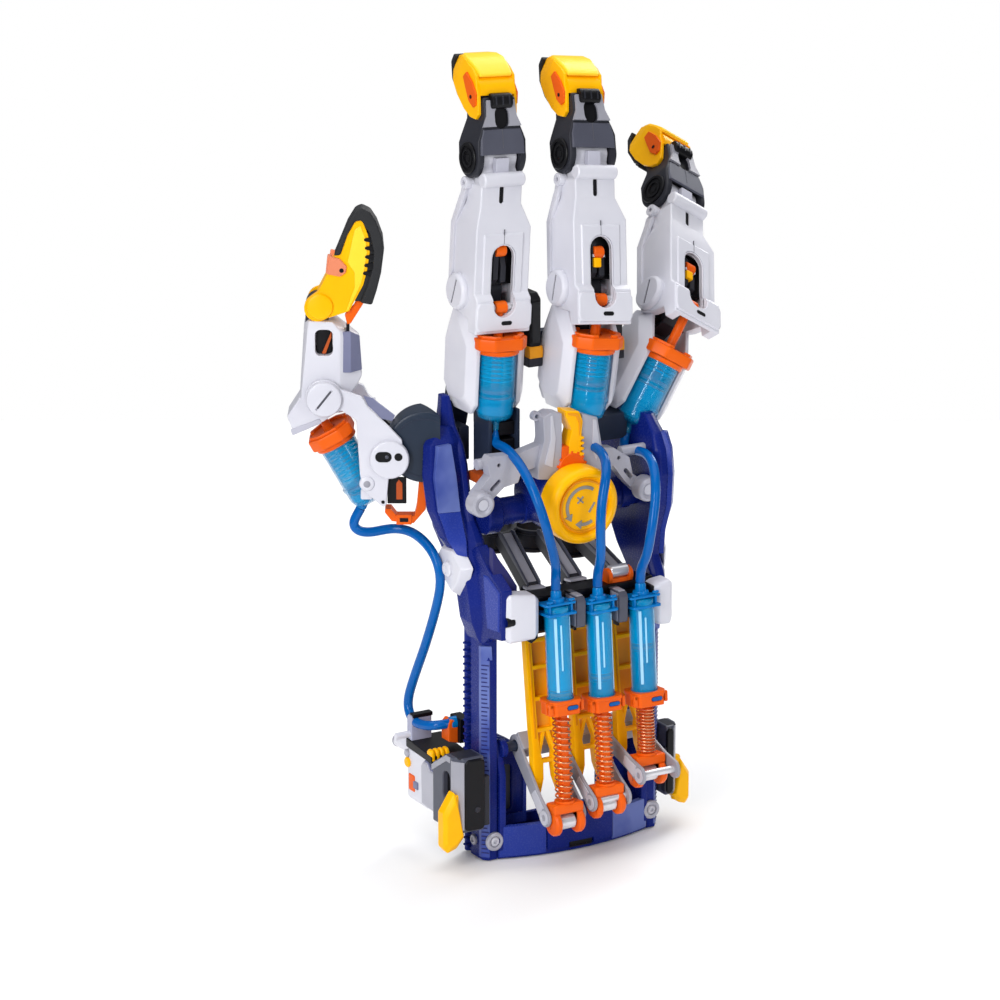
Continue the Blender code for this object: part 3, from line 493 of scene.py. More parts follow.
def cylinder_parts(piston, straight=True):
    """Output cylinder about the local Z axis: orange cap, ribbed clear barrel, water with a painted glow and
    nozzle.
    """
    eight = even([(-12.4, -5), (-7, -10.4), (7, -10.4), (12.4, -5)])
    cap = prism(eight, "Z", -24.2, -18.6)
    cut(cap, disc("Z", (0, 0), 2.9, -30, 0), disc("Z", (0, 0), 7.4, -30, -20.5))
    collar = turned([(7.4, -26.6), (9.3, -26.6), (9.8, -26), (9.8, -24.4), (7.4, -24.4)])
    rim = prism(scaled(eight, 0.88), "Z", -18.8, -17.4)
    cut(rim, prism(scaled(eight, 0.72), "Z", -20, -10), box(-3.4, 3.4, -12, 12, -20, -10))
    parts = Parts()
    parts.add(ORANGE, cap, 0.9)
    parts.add(ORANGE, rim, 0.4)
    parts.add(ORANGE, collar)
    barrel = [(8.5, -24.4), (8.5, -46.5), (9, -46.9), (9, -48.4), (8.5, -48.8), (8.5, -53), (7.4, -56),
        (5.6, -57.2)]
    if straight:
        barrel += [(2.6, -57.6), (2.5, -61.9), (0.9, -61.9), (0.9, -56)]
    else:
        barrel += [(0.9, -57.4), (0.9, -56)]
    parts.add(CLEAR, turned(barrel + [(7.6, -54.6), (7.7, -24.4)]))
    # water, glowing with painted light
    water = turned([(0, -55), (7.2, -54.2), (7.35, -47.2 + piston), (0, -47.2 + piston)])
    parts.add(WATER_PAINTED_GLOW, water)
    for z in range(-45, -26, 2):
        if z > -41 + piston:
            parts.add(WATER_PAINTED_GLOW, turned([(7.45, z), (7.62, z), (7.62, z + 0.7), (7.45, z + 0.7)]))
    return parts


def rod_parts(push):
    """Piston, rod and cross pin about the local Z axis."""
    def pushed(profile):
        return turned([(r, z + push) for r, z in profile])

    piston = pushed([(0, -47), (6.9, -47), (7.1, -46.4), (6.4, -45.9), (6.4, -44.9), (7.1, -44.4), (6.9, -43),
        (0, -43)])
    ring = pushed([(6.4, -45.9), (7.2, -45.8), (7.2, -45), (6.4, -44.9)])
    stem = pushed([(0, -44), (2.1, -44), (2.1, -12), (1.8, -11), (1.8, -6), (0, -6)])
    ribs = [box(-a, a, -b, b, -42 + push, -13 + push) for a, b in ((2.35, 0.5), (0.5, 2.35))]
    eye = rod(1.9, -7, 7, axis="X")
    moved(eye, z=-6 + push)
    hub = moved(soften(disc("X", (0, 0), 2.9, -3, 3), 0.4), z=-6 + push)
    return [(piston, ORANGE), (ring, BLACK), (stem, ORANGE), (hub, ORANGE), (eye, PIN)] + [(rib, ORANGE)
        for rib in ribs]


def proximal(name, at):
    """White first phalanx: hollow shell, front panel, skirt band, window and side ribs."""
    side = [(-16, -17), (-16, -1.5), (-13.2, 1), (-13, 30), (-9.5, 40), (-9.5, 51), (-5.5, 56)]
    side += arc((0, 60), 6.5, 180, 0, 12) + [(6.5, 52), (9, 44), (9, 2), (7, -7), (0, -9.5), (-8, -11),
        (-9, -17)]
    front = [(-14, -17), (-14, 30), (-10.5, 40), (-10.5, 48), (-9, 50), (-9, 70)]
    shell = common(prism(side, "X", -20, 20), prism(both(front), "Y", -20, 20))
    soften(shell, 1.5, 3)
    inside = [(-14.3, -20), (-14.3, -1), (-11.4, 2), (-11.4, 28), (0, 34), (20, 30), (20, -20)]
    window = obround((0, 6.4), 11.2, 32)
    cut(shell, prism(inside, "X", -9.5, 9.5), prism(window, "Y", -20, -5),
        prism(obround((0, 44.5), 2.4, 8), "Y", -20, -6.5), disc("X", (0, 60), 2.6, -12, 12))
    parts = Parts()
    parts.add(WHITE, shell)
    parts.add(WHITE, disc("X", (0, 0), 2.5, -12, 12))
    # raised front panel with a bevelled frame round the window
    panel = both([(-10.4, -1), (-10.4, 28), (-7.4, 37.5)])
    face = layers("Y", ([(x, min(z, 30.2)) for x, z in panel[:2] + panel[4:]], -12.9),
        (scaled([(x, z) for x, z in panel[:2] + panel[4:]], 0.93), -13.7))
    parts.add(WHITE, cut(soften(face, 0.25), prism(obround((0, 6.4), 12.8, 33.6), "Y", -20, -5)))
    rim = cut(prism(obround((0, 6.4), 12.6, 33.4), "Y", -13.5, -11.6), prism(window, "Y", -20, -5))
    parts.add(WHITE, rim, 0.3)
    parts.add(SEAM, box(-0.08, 0.08, -13.8, -13.2, 23, 29.6))
    parts.add(SEAM, box(-0.13, 0.13, -9.66, -9, 49, 51))
    parts.add(BLACK, prism(obround((0, 44.5), 2.3, 7.9), "Y", -8.9, -7.4))
    # skirt band with its little slot
    band = both([(-13.2, -15.9), (-14.6, -13.5), (-14.6, -5), (-13.2, -2.4)])
    band = cut(layers("Y", (band, -15.4), (scaled(band, 0.95), -17.0)), prism(window, "Y", -20, -5))
    parts.add(WHITE, band, 0.5)
    parts.add(BLACK, prism(obround((1.2, -12.2), 5.4, 1.9), "Y", -17.12, -16.4))
    # cross bar at the second joint
    bar = turned(even([(0, -10.4), (2.7, -10.4), (3.3, -9.8)]), 24, "X")
    parts.add(WHITE, moved(bar, y=-9.4, z=51.4))
    # block behind the bar, white in painted shade
    parts.add(WHITE_SHADE, box(-3.4, 3.4, -9.4, -6.2, 52, 61), 0.5)
    # side rib, recessed cheek and pins, each side
    for flip in (False, True):
        rib = [(9, 3), (9, 30), (6.2, 42), (3.5, 49), (0.4, 49), (2.6, 41), (5.6, 29), (5.6, 8)]
        rib = soften(prism(rib, "X", -14.9, -12.6), 0.5)
        for vert in rib.data.vertices:
            if vert.co.z > 30:
                vert.co.x += (vert.co.z - 30) * 0.17
        boss = turned([(1.1, -13.4), (2.7, -13.4), (2.9, -13.1), (2.9, -9.6), (1.1, -9.6)], 28, "X")
        moved(boss, y=1.5, z=48.6)
        eye = moved(rod(1.1, -12.6, -10, 20, "X"), y=1.5, z=48.6)
        for ob, look in ((rib, WHITE), (boss, WHITE), (eye, PALE)):
            parts.add(look, mirrored(ob) if flip else ob)
    # slotted cap on the left, plain cap on the right
    cap = turned([(0, -16.9), (6.9, -16.9), (7.9, -16.2), (8.3, -15.2), (8.3, -12), (0, -12)], axis="X")
    cut(cap, moved(box(-18, -16.3, -0.55, 0.55, -6, 6), rx=18))
    parts.add(WHITE, cap)
    parts.add(SEAM, moved(box(-16.5, -16.2, -0.5, 0.5, -5.9, 5.9), rx=18))
    parts.add(WHITE, turned([(0, 15.5), (5.4, 15.5), (6.4, 14.8), (6.6, 14), (6.6, 12), (0, 12)], axis="X"))
    # dark works seen through the window
    parts.add(BLACK, prism([(-8.2, 3.5), (-8.2, 25), (5, 30), (7.5, 26), (7.5, 3.5)], "X", -8.8, 8.8), 0.6)
    parts.add(BLACK, box(-9.2, 9.2, 3, 7.5, -9, 6))
    parts.add(GREY, prism([(-8.2, 4), (-10.8, 6.5), (-10.8, 20), (-8.2, 23.5)], "X", -3.4, -0.6), 0.4)
    parts.add(GREY, prism([(-8.2, 4), (-10.4, 5), (-10.4, 12), (-8.2, 17)], "X", 0.8, 3.6), 0.4)
    roller_z = 19.5 if name == "index" else 15.5
    parts.add(ORANGE, moved(turned(even([(0, -2.6), (2.6, -2.6), (2.9, -2.2)]), 24, "X"), y=-9.6, z=roller_z))
    if name != "index":
        parts.add(YELLOW, box(-2.9, 1, -12.2, -9, 8.6, 13), 0.6)
        parts.add(WHITE, box(-3.2, 3.2, -11.6, -9, 13.2, 14.6), 0.4)
    cover(f"{name}_proximal", f"{name}_proximal", at, parts, "white_plastic")


def middle_phalanx(name, at):
    """Dark forked phalanx with a paler upper panel, side discs and a black end block."""
    side = arc((0, 0), 9, 180, 360, 20) + [(8.5, 10), (6.5, 24)] + arc((0, 29), 5.6, 0, 120, 10)
    side += [(-5.4, 31), (-6, 26.6), (-8.8, 26), (-8.8, 24), (-9.6, 10)]
    front = [(-12.3, -10), (-12.3, 7), (-8.2, 17.6), (-8.2, 40)]
    shell = common(prism(side, "X", -20, 20), prism(both(front), "Y", -20, 20))
    soften(shell, 1.0, 3)
    cut(shell, box(-9.3, 9.3, -7.4, 20, -12, 7.6), box(-9.3, 9.3, -20, -7, -12, 2.4),
        prism(obround((0, 17), 7.2, 9.8), "Y", -20, -5), disc("X", (0, 29), 2.4, -12, 12),
        prism(arc((0, 29), 8.1, 128, 276, 16) + arc((0, 29), 6.0, 276, 128, 16), "X", -9, 9))
    parts = Parts()
    parts.add(GREY, shell)
    parts.add(GREY, disc("X", (0, 0), 2.2, -10, 10))
    lower = both([(-11.4, 0.6), (-11.3, 7.2), (-9.8, 12.2)])
    lower = layers("Y", (lower, -9.0), (scaled(lower, 0.94), -10.0))
    parts.add(GREY_SHADE, lower, 0.3)
    upper = both([(-9.6, 12.6), (-7.5, 17.4), (-7, 24.4)])
    upper = prism(upper, "Y", -10.2, -8.2)
    upper.data.transform(Matrix.Translation((0, 0, 19)) @ Matrix.Rotation(math.radians(-3.2), 4, "X")
        @ Matrix.Translation((0, 0, -19)))
    cut(upper, prism(obround((0, 17), 7.4, 10.6), "Y", -20, -5))
    parts.add(PALE, upper, 0.3)
    parts.add(BLACK, prism(obround((0, 16.8), 7.1, 10.1), "Y", -8.4, -5.4))
    parts.add(SEAM, box(-0.13, 0.13, -10.12, -9.5, 3.6, 12))
    block = prism([(-8, 20.8), (-10.8, 21.2), (-12, 23), (-12, 25.6), (-10.8, 27.6), (-8, 28.2)], "X", -5.4,
        5.4)
    parts.add(BLACK, block, 0.8)
    for x in (-3.4, 0, 3.4):
        parts.add(GREY, box(x - 0.4, x + 0.4, -12.15, -11, 22.6, 26.4), 0.2)
    parts.add(BLACK, box(-4.4, 4.4, -9.4, -8.1, 21, 27))
    for flip in (False, True):
        plate = turned([(0, -12.9), (1.5, -12.9), (1.7, -12.5), (3.1, -12.5), (3.3, -13.2), (4.2, -13.2),
            (4.4, -12.6), (5.4, -12.6), (5.6, -13.3), (6.8, -13.3), (7.1, -13), (7.1, -12), (0, -12)], axis="X")
        parts.add(BLACK, mirrored(plate) if flip else plate)
    assemble(f"{name}_middle_look", f"{name}_middle_phalanx", at, parts, [f"{name}_middle_phalanx"])


def fingertip(name, at):
    """Yellow tip with a nail face in painted highlight, a ridged rubber pad on the palm side and an orange clip
    each side.
    """
    side = [(-9, 1.6), (-8.8, 6), (-7, 12.6), (-4.2, 17.8), (0, 21.2), (4.4, 20.4), (8.2, 14.6), (9.6, 6),
        (9.3, -2), (7.6, -8), (4.6, -12), (1.6, -12.4), (-1.4, -9.2), (-4.8, -5.2), (-6.2, -2)]
    front = [(-10, -12), (-10, 12), (-8.9, 17.6), (-6.2, 22)]
    shell = common(prism(side, "X", -20, 20), prism(both(front), "Y", -20, 20))
    soften(shell, 2.0, 4)
    slot = [(6.2, -14), (6.2, 6.4), (-6.2, 6.4), (-7.4, 3.4), (-12, 1.4), (-12, -14)]
    cut(shell, prism(slot, "X", -8.5, 8.5), box(-8.5, 8.5, 5, 12, -14, 3))
    cover = arc((0, 0), 7.8, 146, 232, 14) + arc((0, 0), 6.3, 232, 146, 14)
    parts = Parts()
    parts.add(YELLOW, shell)
    parts.add(YELLOW, disc("X", (0, 0), 2.0, -9, 9))
    parts.add(YELLOW, prism(cover, "X", -8.8, 8.8))
    nail = [(-10, 1), (-10.1, 4), (-9.4, 8), (-8.2, 12.6), (-6, 16.8), (-2.6, 20.2), (-1.6, 19), (-6, 13),
        (-8, 4), (-8.4, 1)]
    face = [(-7.8, -1), (-8.6, 7), (-9.3, 13), (-8.2, 17.4), (-6, 20.6)]
    nail = common(prism(nail, "X", -12, 12), prism(both(face), "Y", -20, 20))
    parts.add(YELLOW_HIGHLIGHT, nail, 0.6, 3)
    pad = [(9.2, 3.5), (9.4, 7), (7.8, 13.6), (4.2, 19.2), (0.4, 20.6), (0.6, 22.6), (5, 21.8), (9.6, 15.8),
        (11.2, 7.6), (10.8, 3)]
    parts.add(RUBBER, prism(pad, "X", -9.0, 9.0), 0.6)
    for i in range(5):
        z = 3.0 + 2.6 * i
        y = 10.9 - 0.1 * max(z - 6, 0) ** 1.35
        parts.add(RUBBER, box(-7.6, 7.6, y - 0.6, y + 0.9, z, z + 1.3), 0.35)
    for flip in (False, True):
        clip = [(-4.6, -5), (-5.6, 1), (-5, 7.6), (-1.2, 8), (0.8, 2.4), (2.4, -3), (1.6, -7.6), (-0.8, -8.4)]
        clip = soften(prism(clip, "X", -11.0, -9.8), 0.4)
        hole = moved(rod(0.9, -11.15, -10.6, 20, "X"), y=-0.6, z=-3.2)
        for ob, look in ((clip, ORANGE), (hole, BLACK)):
            parts.add(look, mirrored(ob) if flip else ob)
    assemble(f"{name}_tip_look", f"{name}_fingertip", at, parts, [f"{name}_fingertip"])


for finger in FINGERS:
    mount_at, first_at, middle_at, tip_at = finger_frames(finger)
    cylinder_at = mount_at @ Matrix.Translation((0, OUT_Y * MM, 0))
    mount(finger, mount_at)
    cover(f"{finger}_output_cylinder", f"{finger}_mount", cylinder_at, cylinder_parts(PISTON[finger]),
        "blue_clear_plastic")
    cover(f"{finger}_output_rod", f"{finger}_output_rod", cylinder_at, rod_parts(PISTON[finger]),
        "orange_plastic")
    proximal(finger, first_at)
    middle_phalanx(finger, middle_at)
    fingertip(finger, tip_at)
# --- input units ---

INPUT_TILT = -5.0
INPUT_TOP = {"index": 124.0, "middle": 122.0, "ring": 120.5}
INPUT_Y = -50.0
INPUT_PIN = {"index": 101.5, "middle": 95.15, "ring": 83.35}   # flange to clevis pin at rest
INPUT_FACE = 62    # clevis pin to the piston's water face
CRANK_YZ = (-30, 52)
LINK_FOOT = {"index": 38.0, "middle": 40.57, "ring": 45.33}
CRANK_SLOPE = {"index": 45.0, "middle": 35.43, "ring": 17.67}
LEVER_SLOPE = {"index": 0.0, "middle": -7.0, "ring": -20.0}


def place_at(x=0.0, y=0.0, z=0.0, rx=0.0, ry=0.0, rz=0.0):
    return Matrix.Translation((x * MM, y * MM, z * MM)) @ turn_by(rx, ry, rz)


def input_x(name):
    return JOINTS[f"{name}_crank_pivot"]["pos_m"][0] / MM


def rounded(x0, x1, y0, y1, r):
    """Rounded rectangle outline."""
    out = []
    for cx, cy, start in ((x1 - r, y0 + r, -90), (x1 - r, y1 - r, 0), (x0 + r, y1 - r, 90),
            (x0 + r, y0 + r, 180)):
        out += arc((cx, cy), r, start, start + 90, 4)
    return out


def input_cylinder(name, at):
    barrel = [(2.6, -0.6), (5.4, -1), (5.85, -1.6), (5.85, -42.6), (6.05, -43), (6.05, -44), (5.3, -44),
        (5.3, -2.2), (2, -1.6)]
    parts = Parts()
    parts.add(CLEAR, turned(barrel))
    for z, half, deep in ((-0.4, 8, 4.6), (-4.8, 7.4, 5.9)):
        plate = prism(rounded(-half, half, -deep, min(deep, 5.6), 1.2), "Z", z, z + 1.1)
        if z < -1:
            cut(plate, disc("Z", (0, 0), 5.75, -20, 20))
        parts.add(HOSE_LIGHT, plate, 0.25)
    neck = turned([(0.9, 6), (2, 6), (2.4, 5.2), (2.5, 2.6), (3.5, 2.4), (3.7, 1.9), (3.7, 0.6), (0.9, 0.6)])
    parts.add(HOSE_LIGHT, neck)
    for x in (-5.6, 5.6):
        parts.add(HOSE_LIGHT, box(x - 0.5, x + 0.5, -4.2, -2.2, -4.6, 2.0), 0.2)
        parts.add(HOSE_LIGHT, box(x - 1.5, x + 1.5, -4.4, -3.4, 1.2, 2.2), 0.2)
    level = INPUT_FACE - INPUT_PIN[name]
    # water, glowing with painted light
    parts.add(WATER_PAINTED_GLOW, turned([(0, -2.6), (4.7, -2.6), (5.2, -3.2), (5.2, level), (0, level)]))
    # darker towards the bottom, below the water face, with a faint painted glow
    parts.add(DEEP_BLUE_PAINTED_GLOW, rod(5.15, level - 4.2, -43.6))
    for z in (level - 1.2, level - 3.4):
        parts.add(DEEP_BLUE_PAINTED_GLOW, turned([(5.0, z), (5.28, z), (5.28, z + 0.6), (5.0, z + 0.6)]))
    for deg, wide, top, foot in ((-128, 0.8, -6, -40), (-104, 0.45, -9, -30), (-50, 0.4, -6, -41)):
        ring = arc((0, 0), 6.0, deg - wide * 8, deg + wide * 8, 6) + arc((0, 0), 5.86, deg + wide * 8,
            deg - wide * 8, 6)
        parts.add(GLINT, prism(ring, "Z", foot, top))
    # orange collar with lugs and a blue window
    outline = even([(-7.8, -4.2), (-6, -6.9), (6, -6.9), (7.8, -4.2)])
    body = prism(outline, "Z", -50.6, -44.8)
    cut(body, disc("Z", (0, 0), 4.4, -60, 0), disc("Z", (0, 0), 5.4, -48, 0),
        prism(obround((2.6, -47.4), 6.0, 2.3), "Y", -9, -6.0))
    parts.add(ORANGE, body, 0.7, 3)
    lip = prism(scaled(outline, 1.05), "Z", -45.4, -43.7)
    cut(lip, disc("Z", (0, 0), 6.1, -60, 0))
    parts.add(ORANGE, lip, 0.45)
    parts.add(HOSE, prism(obround((2.6, -47.4), 5.4, 1.7), "Y", -6.7, -5.6))
    for y in (-6.2, -3.4):
        parts.add(ORANGE, box(-9.3, -7.2, y, y + 1.6, -50, -44.4), 0.35)
    parts.add(ORANGE, box(-9, -7.2, -6.2, -1.8, -46.6, -44.6), 0.3)
    parts.add(ORANGE, box(7.2, 8.9, -5.8, -1.6, -49.6, -44.6), 0.4)
    cover(f"{name}_input_cylinder", "frame", at, parts, "blue_clear_plastic")


def input_rod(name, at):
    """Ribbed push rod with a forked, round-eared clevis and a pale pin."""
    pin = INPUT_PIN[name]
    piston = INPUT_FACE - pin
    parts = Parts()
    parts.add(ORANGE, turned([(0, piston - 4), (4.3, piston - 4), (4.45, piston - 3.6), (4.45, piston - 0.4),
        (4.1, piston), (0, piston)]))
    stem = soften(box(-1.6, 1.6, -2.5, 2.5, -pin + 6, piston - 3), 0.3)
    fin = soften(box(-2.9, 2.9, -0.7, 0.7, -pin + 6, piston - 3), 0.25)
    parts.add(ORANGE, stem)
    parts.add(ORANGE, fin)
    z = -pin + 12.5
    while z < piston - 5:
        parts.add(ORANGE, box(-2.7, 2.7, -2.6, 2.6, z, z + 1.1), 0.25)
        z += 2.9
    yoke = prism([(-7.7, -4.2), (7.7, -4.2), (7.7, 4.2), (-7.7, 4.2)], "Z", -pin + 4.6, -pin + 9.3)
    parts.add(ORANGE, yoke, 1.0, 3)
    parts.add(ORANGE, turned([(0, -pin + 9), (4.4, -pin + 9), (4.7, -pin + 9.4), (4.7, -pin + 10.2),
        (0, -pin + 10.2)]))
    for side in (-1, 1):
        ear = [(0, 4.3), (5, 4.3), (5.8, 4.9), (5.9, 6.6), (5.2, 7.6), (3.4, 7.9), (0, 7.9)]
        ear = turned(ear, 12 if side < 0 else 32, "X")
        if side < 0:
            mirrored(ear)
        parts.add(ORANGE, moved(ear, z=-pin))
        parts.add(ORANGE, box(*sorted((side * 4.3, side * 7.5)), -3.6, 3.6, -pin, -pin + 7), 0.6)
    # slit on the ear in painted shade
    parts.add(ORANGE_SHADE, moved(box(-7.98, -7.6, -0.5, 0.5, -2.4, 2.4), z=-pin))
    parts.add(PIN, moved(rod(2.5, -4.4, 4.4, 32, "X"), z=-pin))
    roller = even([(0, -3.9), (3.1, -3.9), (3.4, -3.5)])
    parts.add(PIN, moved(turned(roller, 32, "X"), z=-pin))
    cover(f"{name}_input_rod", f"{name}_input_rod", at, parts, "orange_plastic")


def spring(name, at):
    """Close copper wire helix round the rod."""
    top, bottom = -51.2, -INPUT_PIN[name] + 10.3
    turns = 14
    steps = turns * 22
    wire = 0.42
    bm = bmesh.new()
    rings = []
    for i in range(steps + 1):
        part = i / steps
        angle = math.tau * turns * part
        z = top - wire + (bottom - top + 2 * wire) * part
        ring = []
        for k in range(6):
            turn = math.tau * k / 6
            r = 3.95 + wire * math.cos(turn)
            ring.append(bm.verts.new((r * math.cos(angle), r * math.sin(angle), z + wire * math.sin(turn))))
        rings.append(ring)
    for first, second in zip(rings, rings[1:]):
        for k in range(6):
            bm.faces.new((first[k], first[(k + 1) % 6], second[(k + 1) % 6], second[k]))
    bm.faces.new(rings[0])
    bm.faces.new(rings[-1])
    ob = solid(bm)
    if name == "index":
        piece = cover(f"{name}_spring", "frame", at, [(ob, COPPER)], "spring_copper")
        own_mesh(piece)
        return
    piece = cover(f"{name}_spring", None, at, [(ob, COPPER)], "spring_copper")
    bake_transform(piece)


def crank(name, at):
    """Two flat silver arms with round ends, joined by a web and a shaft sleeve."""
    arm = arc((0, 0), 5.2, -60, 60, 10) + [(-12, 3.4), (-28, 3.2)] + arc((-37.4, 0), 4.4, 90, 270,
        10) + [(-28, -3.6), (-12, -4)]
    parts = Parts()
    for x0, x1 in ((-9.9, -8.3), (8.3, 9.9)):
        plate = prism(arm, "X", x0, x1)
        cut(plate, disc("X", (0, 0), 2.7, -20, 20))
        # arms in pale grey, darker than the silver: painted shade
        parts.add(PALE, plate, 0.5)
        out = x0 - 0.35 if x0 < 0 else x1 - 0.2
        panel = prism([(-24, 2.2), (-34, 3), (-34, -3), (-24, -2.2)], "X", out, out + 0.55)
        parts.add(PALE_SILVER, panel, 0.2)
        boss = turned([(1.6, out), (3.4, out), (3.4, out + 0.5), (1.6, out + 0.5)], 28, "X")
        parts.add(PALE_SILVER, moved(boss, y=-37.4))
    web = prism([(-4.6, -5.2), (-4.6, 5.2), (4.2, 5.2), (4.2, -5.2)], "X", -9, 9)
    cut(web, disc("X", (0, 0), 2.7, -20, 20))
    parts.add(SILVER, web, 0.5)
    parts.add(PIN, moved(rod(1.7, -9, 9, 24, "X"), y=-37.4))
    cover(f"{name}_crank", f"{name}_crank", at, parts, "silver_plastic")


def truss_link(name, at):
    """Yellow ladder: two wide rails with pointed feet and grooves in painted shade, a back panel in painted shade,
    rungs and a truss of struts.
    """
    parts = Parts()
    for side in (-1, 1):
        rail = [(-3, 1), (-3.4, 8), (-2, 16), (-1.6, 23.5), (-1.4, 66), (1.6, 66), (1.8, 24), (1.6, 18), (2, 8),
            (2, 2), (0.6, -4.4), (-1, -5.4)]
        rail = prism([(side * (5.8 + x), z) for x, z in rail], "Y", -2.0, 2.2)
        parts.add(YELLOW, rail, 0.45)
        groove = prism([(side * (5.8 + x), z) for x, z in ((-0.5, 20), (-0.5, 64), (0.4, 64), (0.4, 20))], "Y",
            -2.25, -1.6)
        parts.add(YELLOW_SHADE, groove, 0.15)
    panel = prism([(-5.4, 24), (5.4, 24), (5.4, 65), (-5.4, 65)], "Y", 0.8, 1.7)
    parts.add(YELLOW_SHADE, panel, 0.2)
    for z in (9, 23.5, 38, 52.5, 64.8):
        parts.add(YELLOW, box(-5.9, 5.9, -1.9, 1.9, z - 0.9, z + 0.9), 0.3)
    struts = [((-5, 10), (-0.9, 23)), ((5, 10), (0.9, 23))]
    for (xa, za), (xb, zb) in struts:
        line = Vector((xb - xa, 0, zb - za))
        strut = soften(box(-0.9, 0.9, -1.6, 1.6, 0, line.length), 0.25)
        parts.add(YELLOW, moved(strut, x=xa, z=za, ry=math.degrees(math.atan2(line.x, line.z))))
    for side in (-1, 1):
        eye = rod(2.5, 4.6, 7.9, 28, "X")
        if side < 0:
            mirrored(eye)
        parts.add(YELLOW, moved(eye, z=-0.4))
    cover(f"{name}_truss_link", f"{name}_truss_link", at, parts, "yellow_plastic")


def ring_lever(name, at):
    """Strap up from the bracket with a foot and side ribs, and the wearer's finger loop."""
    strap = [(2.6, -2.4), (-3.4, -2.4), (-3.8, 0), (-3, 3.2), (20, 20.4), (25.4, 20.4), (25.4, 15.4), (4, 0.6)]
    strap = cut(prism(strap, "X", -3.4, 3.4), disc("X", (0, 0), 1.5, -10, 10))
    panel = prism([(-1.6, 4.6), (19.4, 20.3), (20.4, 21), (-2.6, 4.2)], "X", -2.2, 2.2)
    parts = Parts()
    parts.add(GREY, strap, 0.5)
    parts.add(PALE, panel, 0.2)
    for x in (-3.6, 2.8):
        rail = prism([(-4, 2.6), (-4, 4.4), (19.8, 22), (22, 22), (22, 20)], "X", x, x + 1.0)
        parts.add(GREY_SHADE, rail, 0.25)
    parts.add(SILVER, box(-4.4, 4.4, -7.4, -1.4, 1.4, 2.7), 0.35)
    loop = turned(even([(8.4, -5), (9, -5.4), (10.4, -5.4), (10.9, -4.8), (10.9, -3.6), (10.3, -3.2)]))
    parts.add(GREY, moved(loop, y=34, z=18, rx=15))
    cover(f"{name}_ring_lever", f"{name}_ring_lever", at, parts, "grey_plastic")


for finger in FINGERS:
    x = input_x(finger)
    unit_at = place_at(x, INPUT_Y, INPUT_TOP[finger], rx=INPUT_TILT)
    input_cylinder(finger, unit_at)
    input_rod(finger, unit_at)
    spring(finger, unit_at)
    crank(finger, place_at(x, *CRANK_YZ, rx=CRANK_SLOPE[finger]))
    truss_link(finger, place_at(x, -42.5, LINK_FOOT[finger], rx=-8))
    ring_lever(finger, place_at(x, -26, 124, rx=LEVER_SLOPE[finger]))


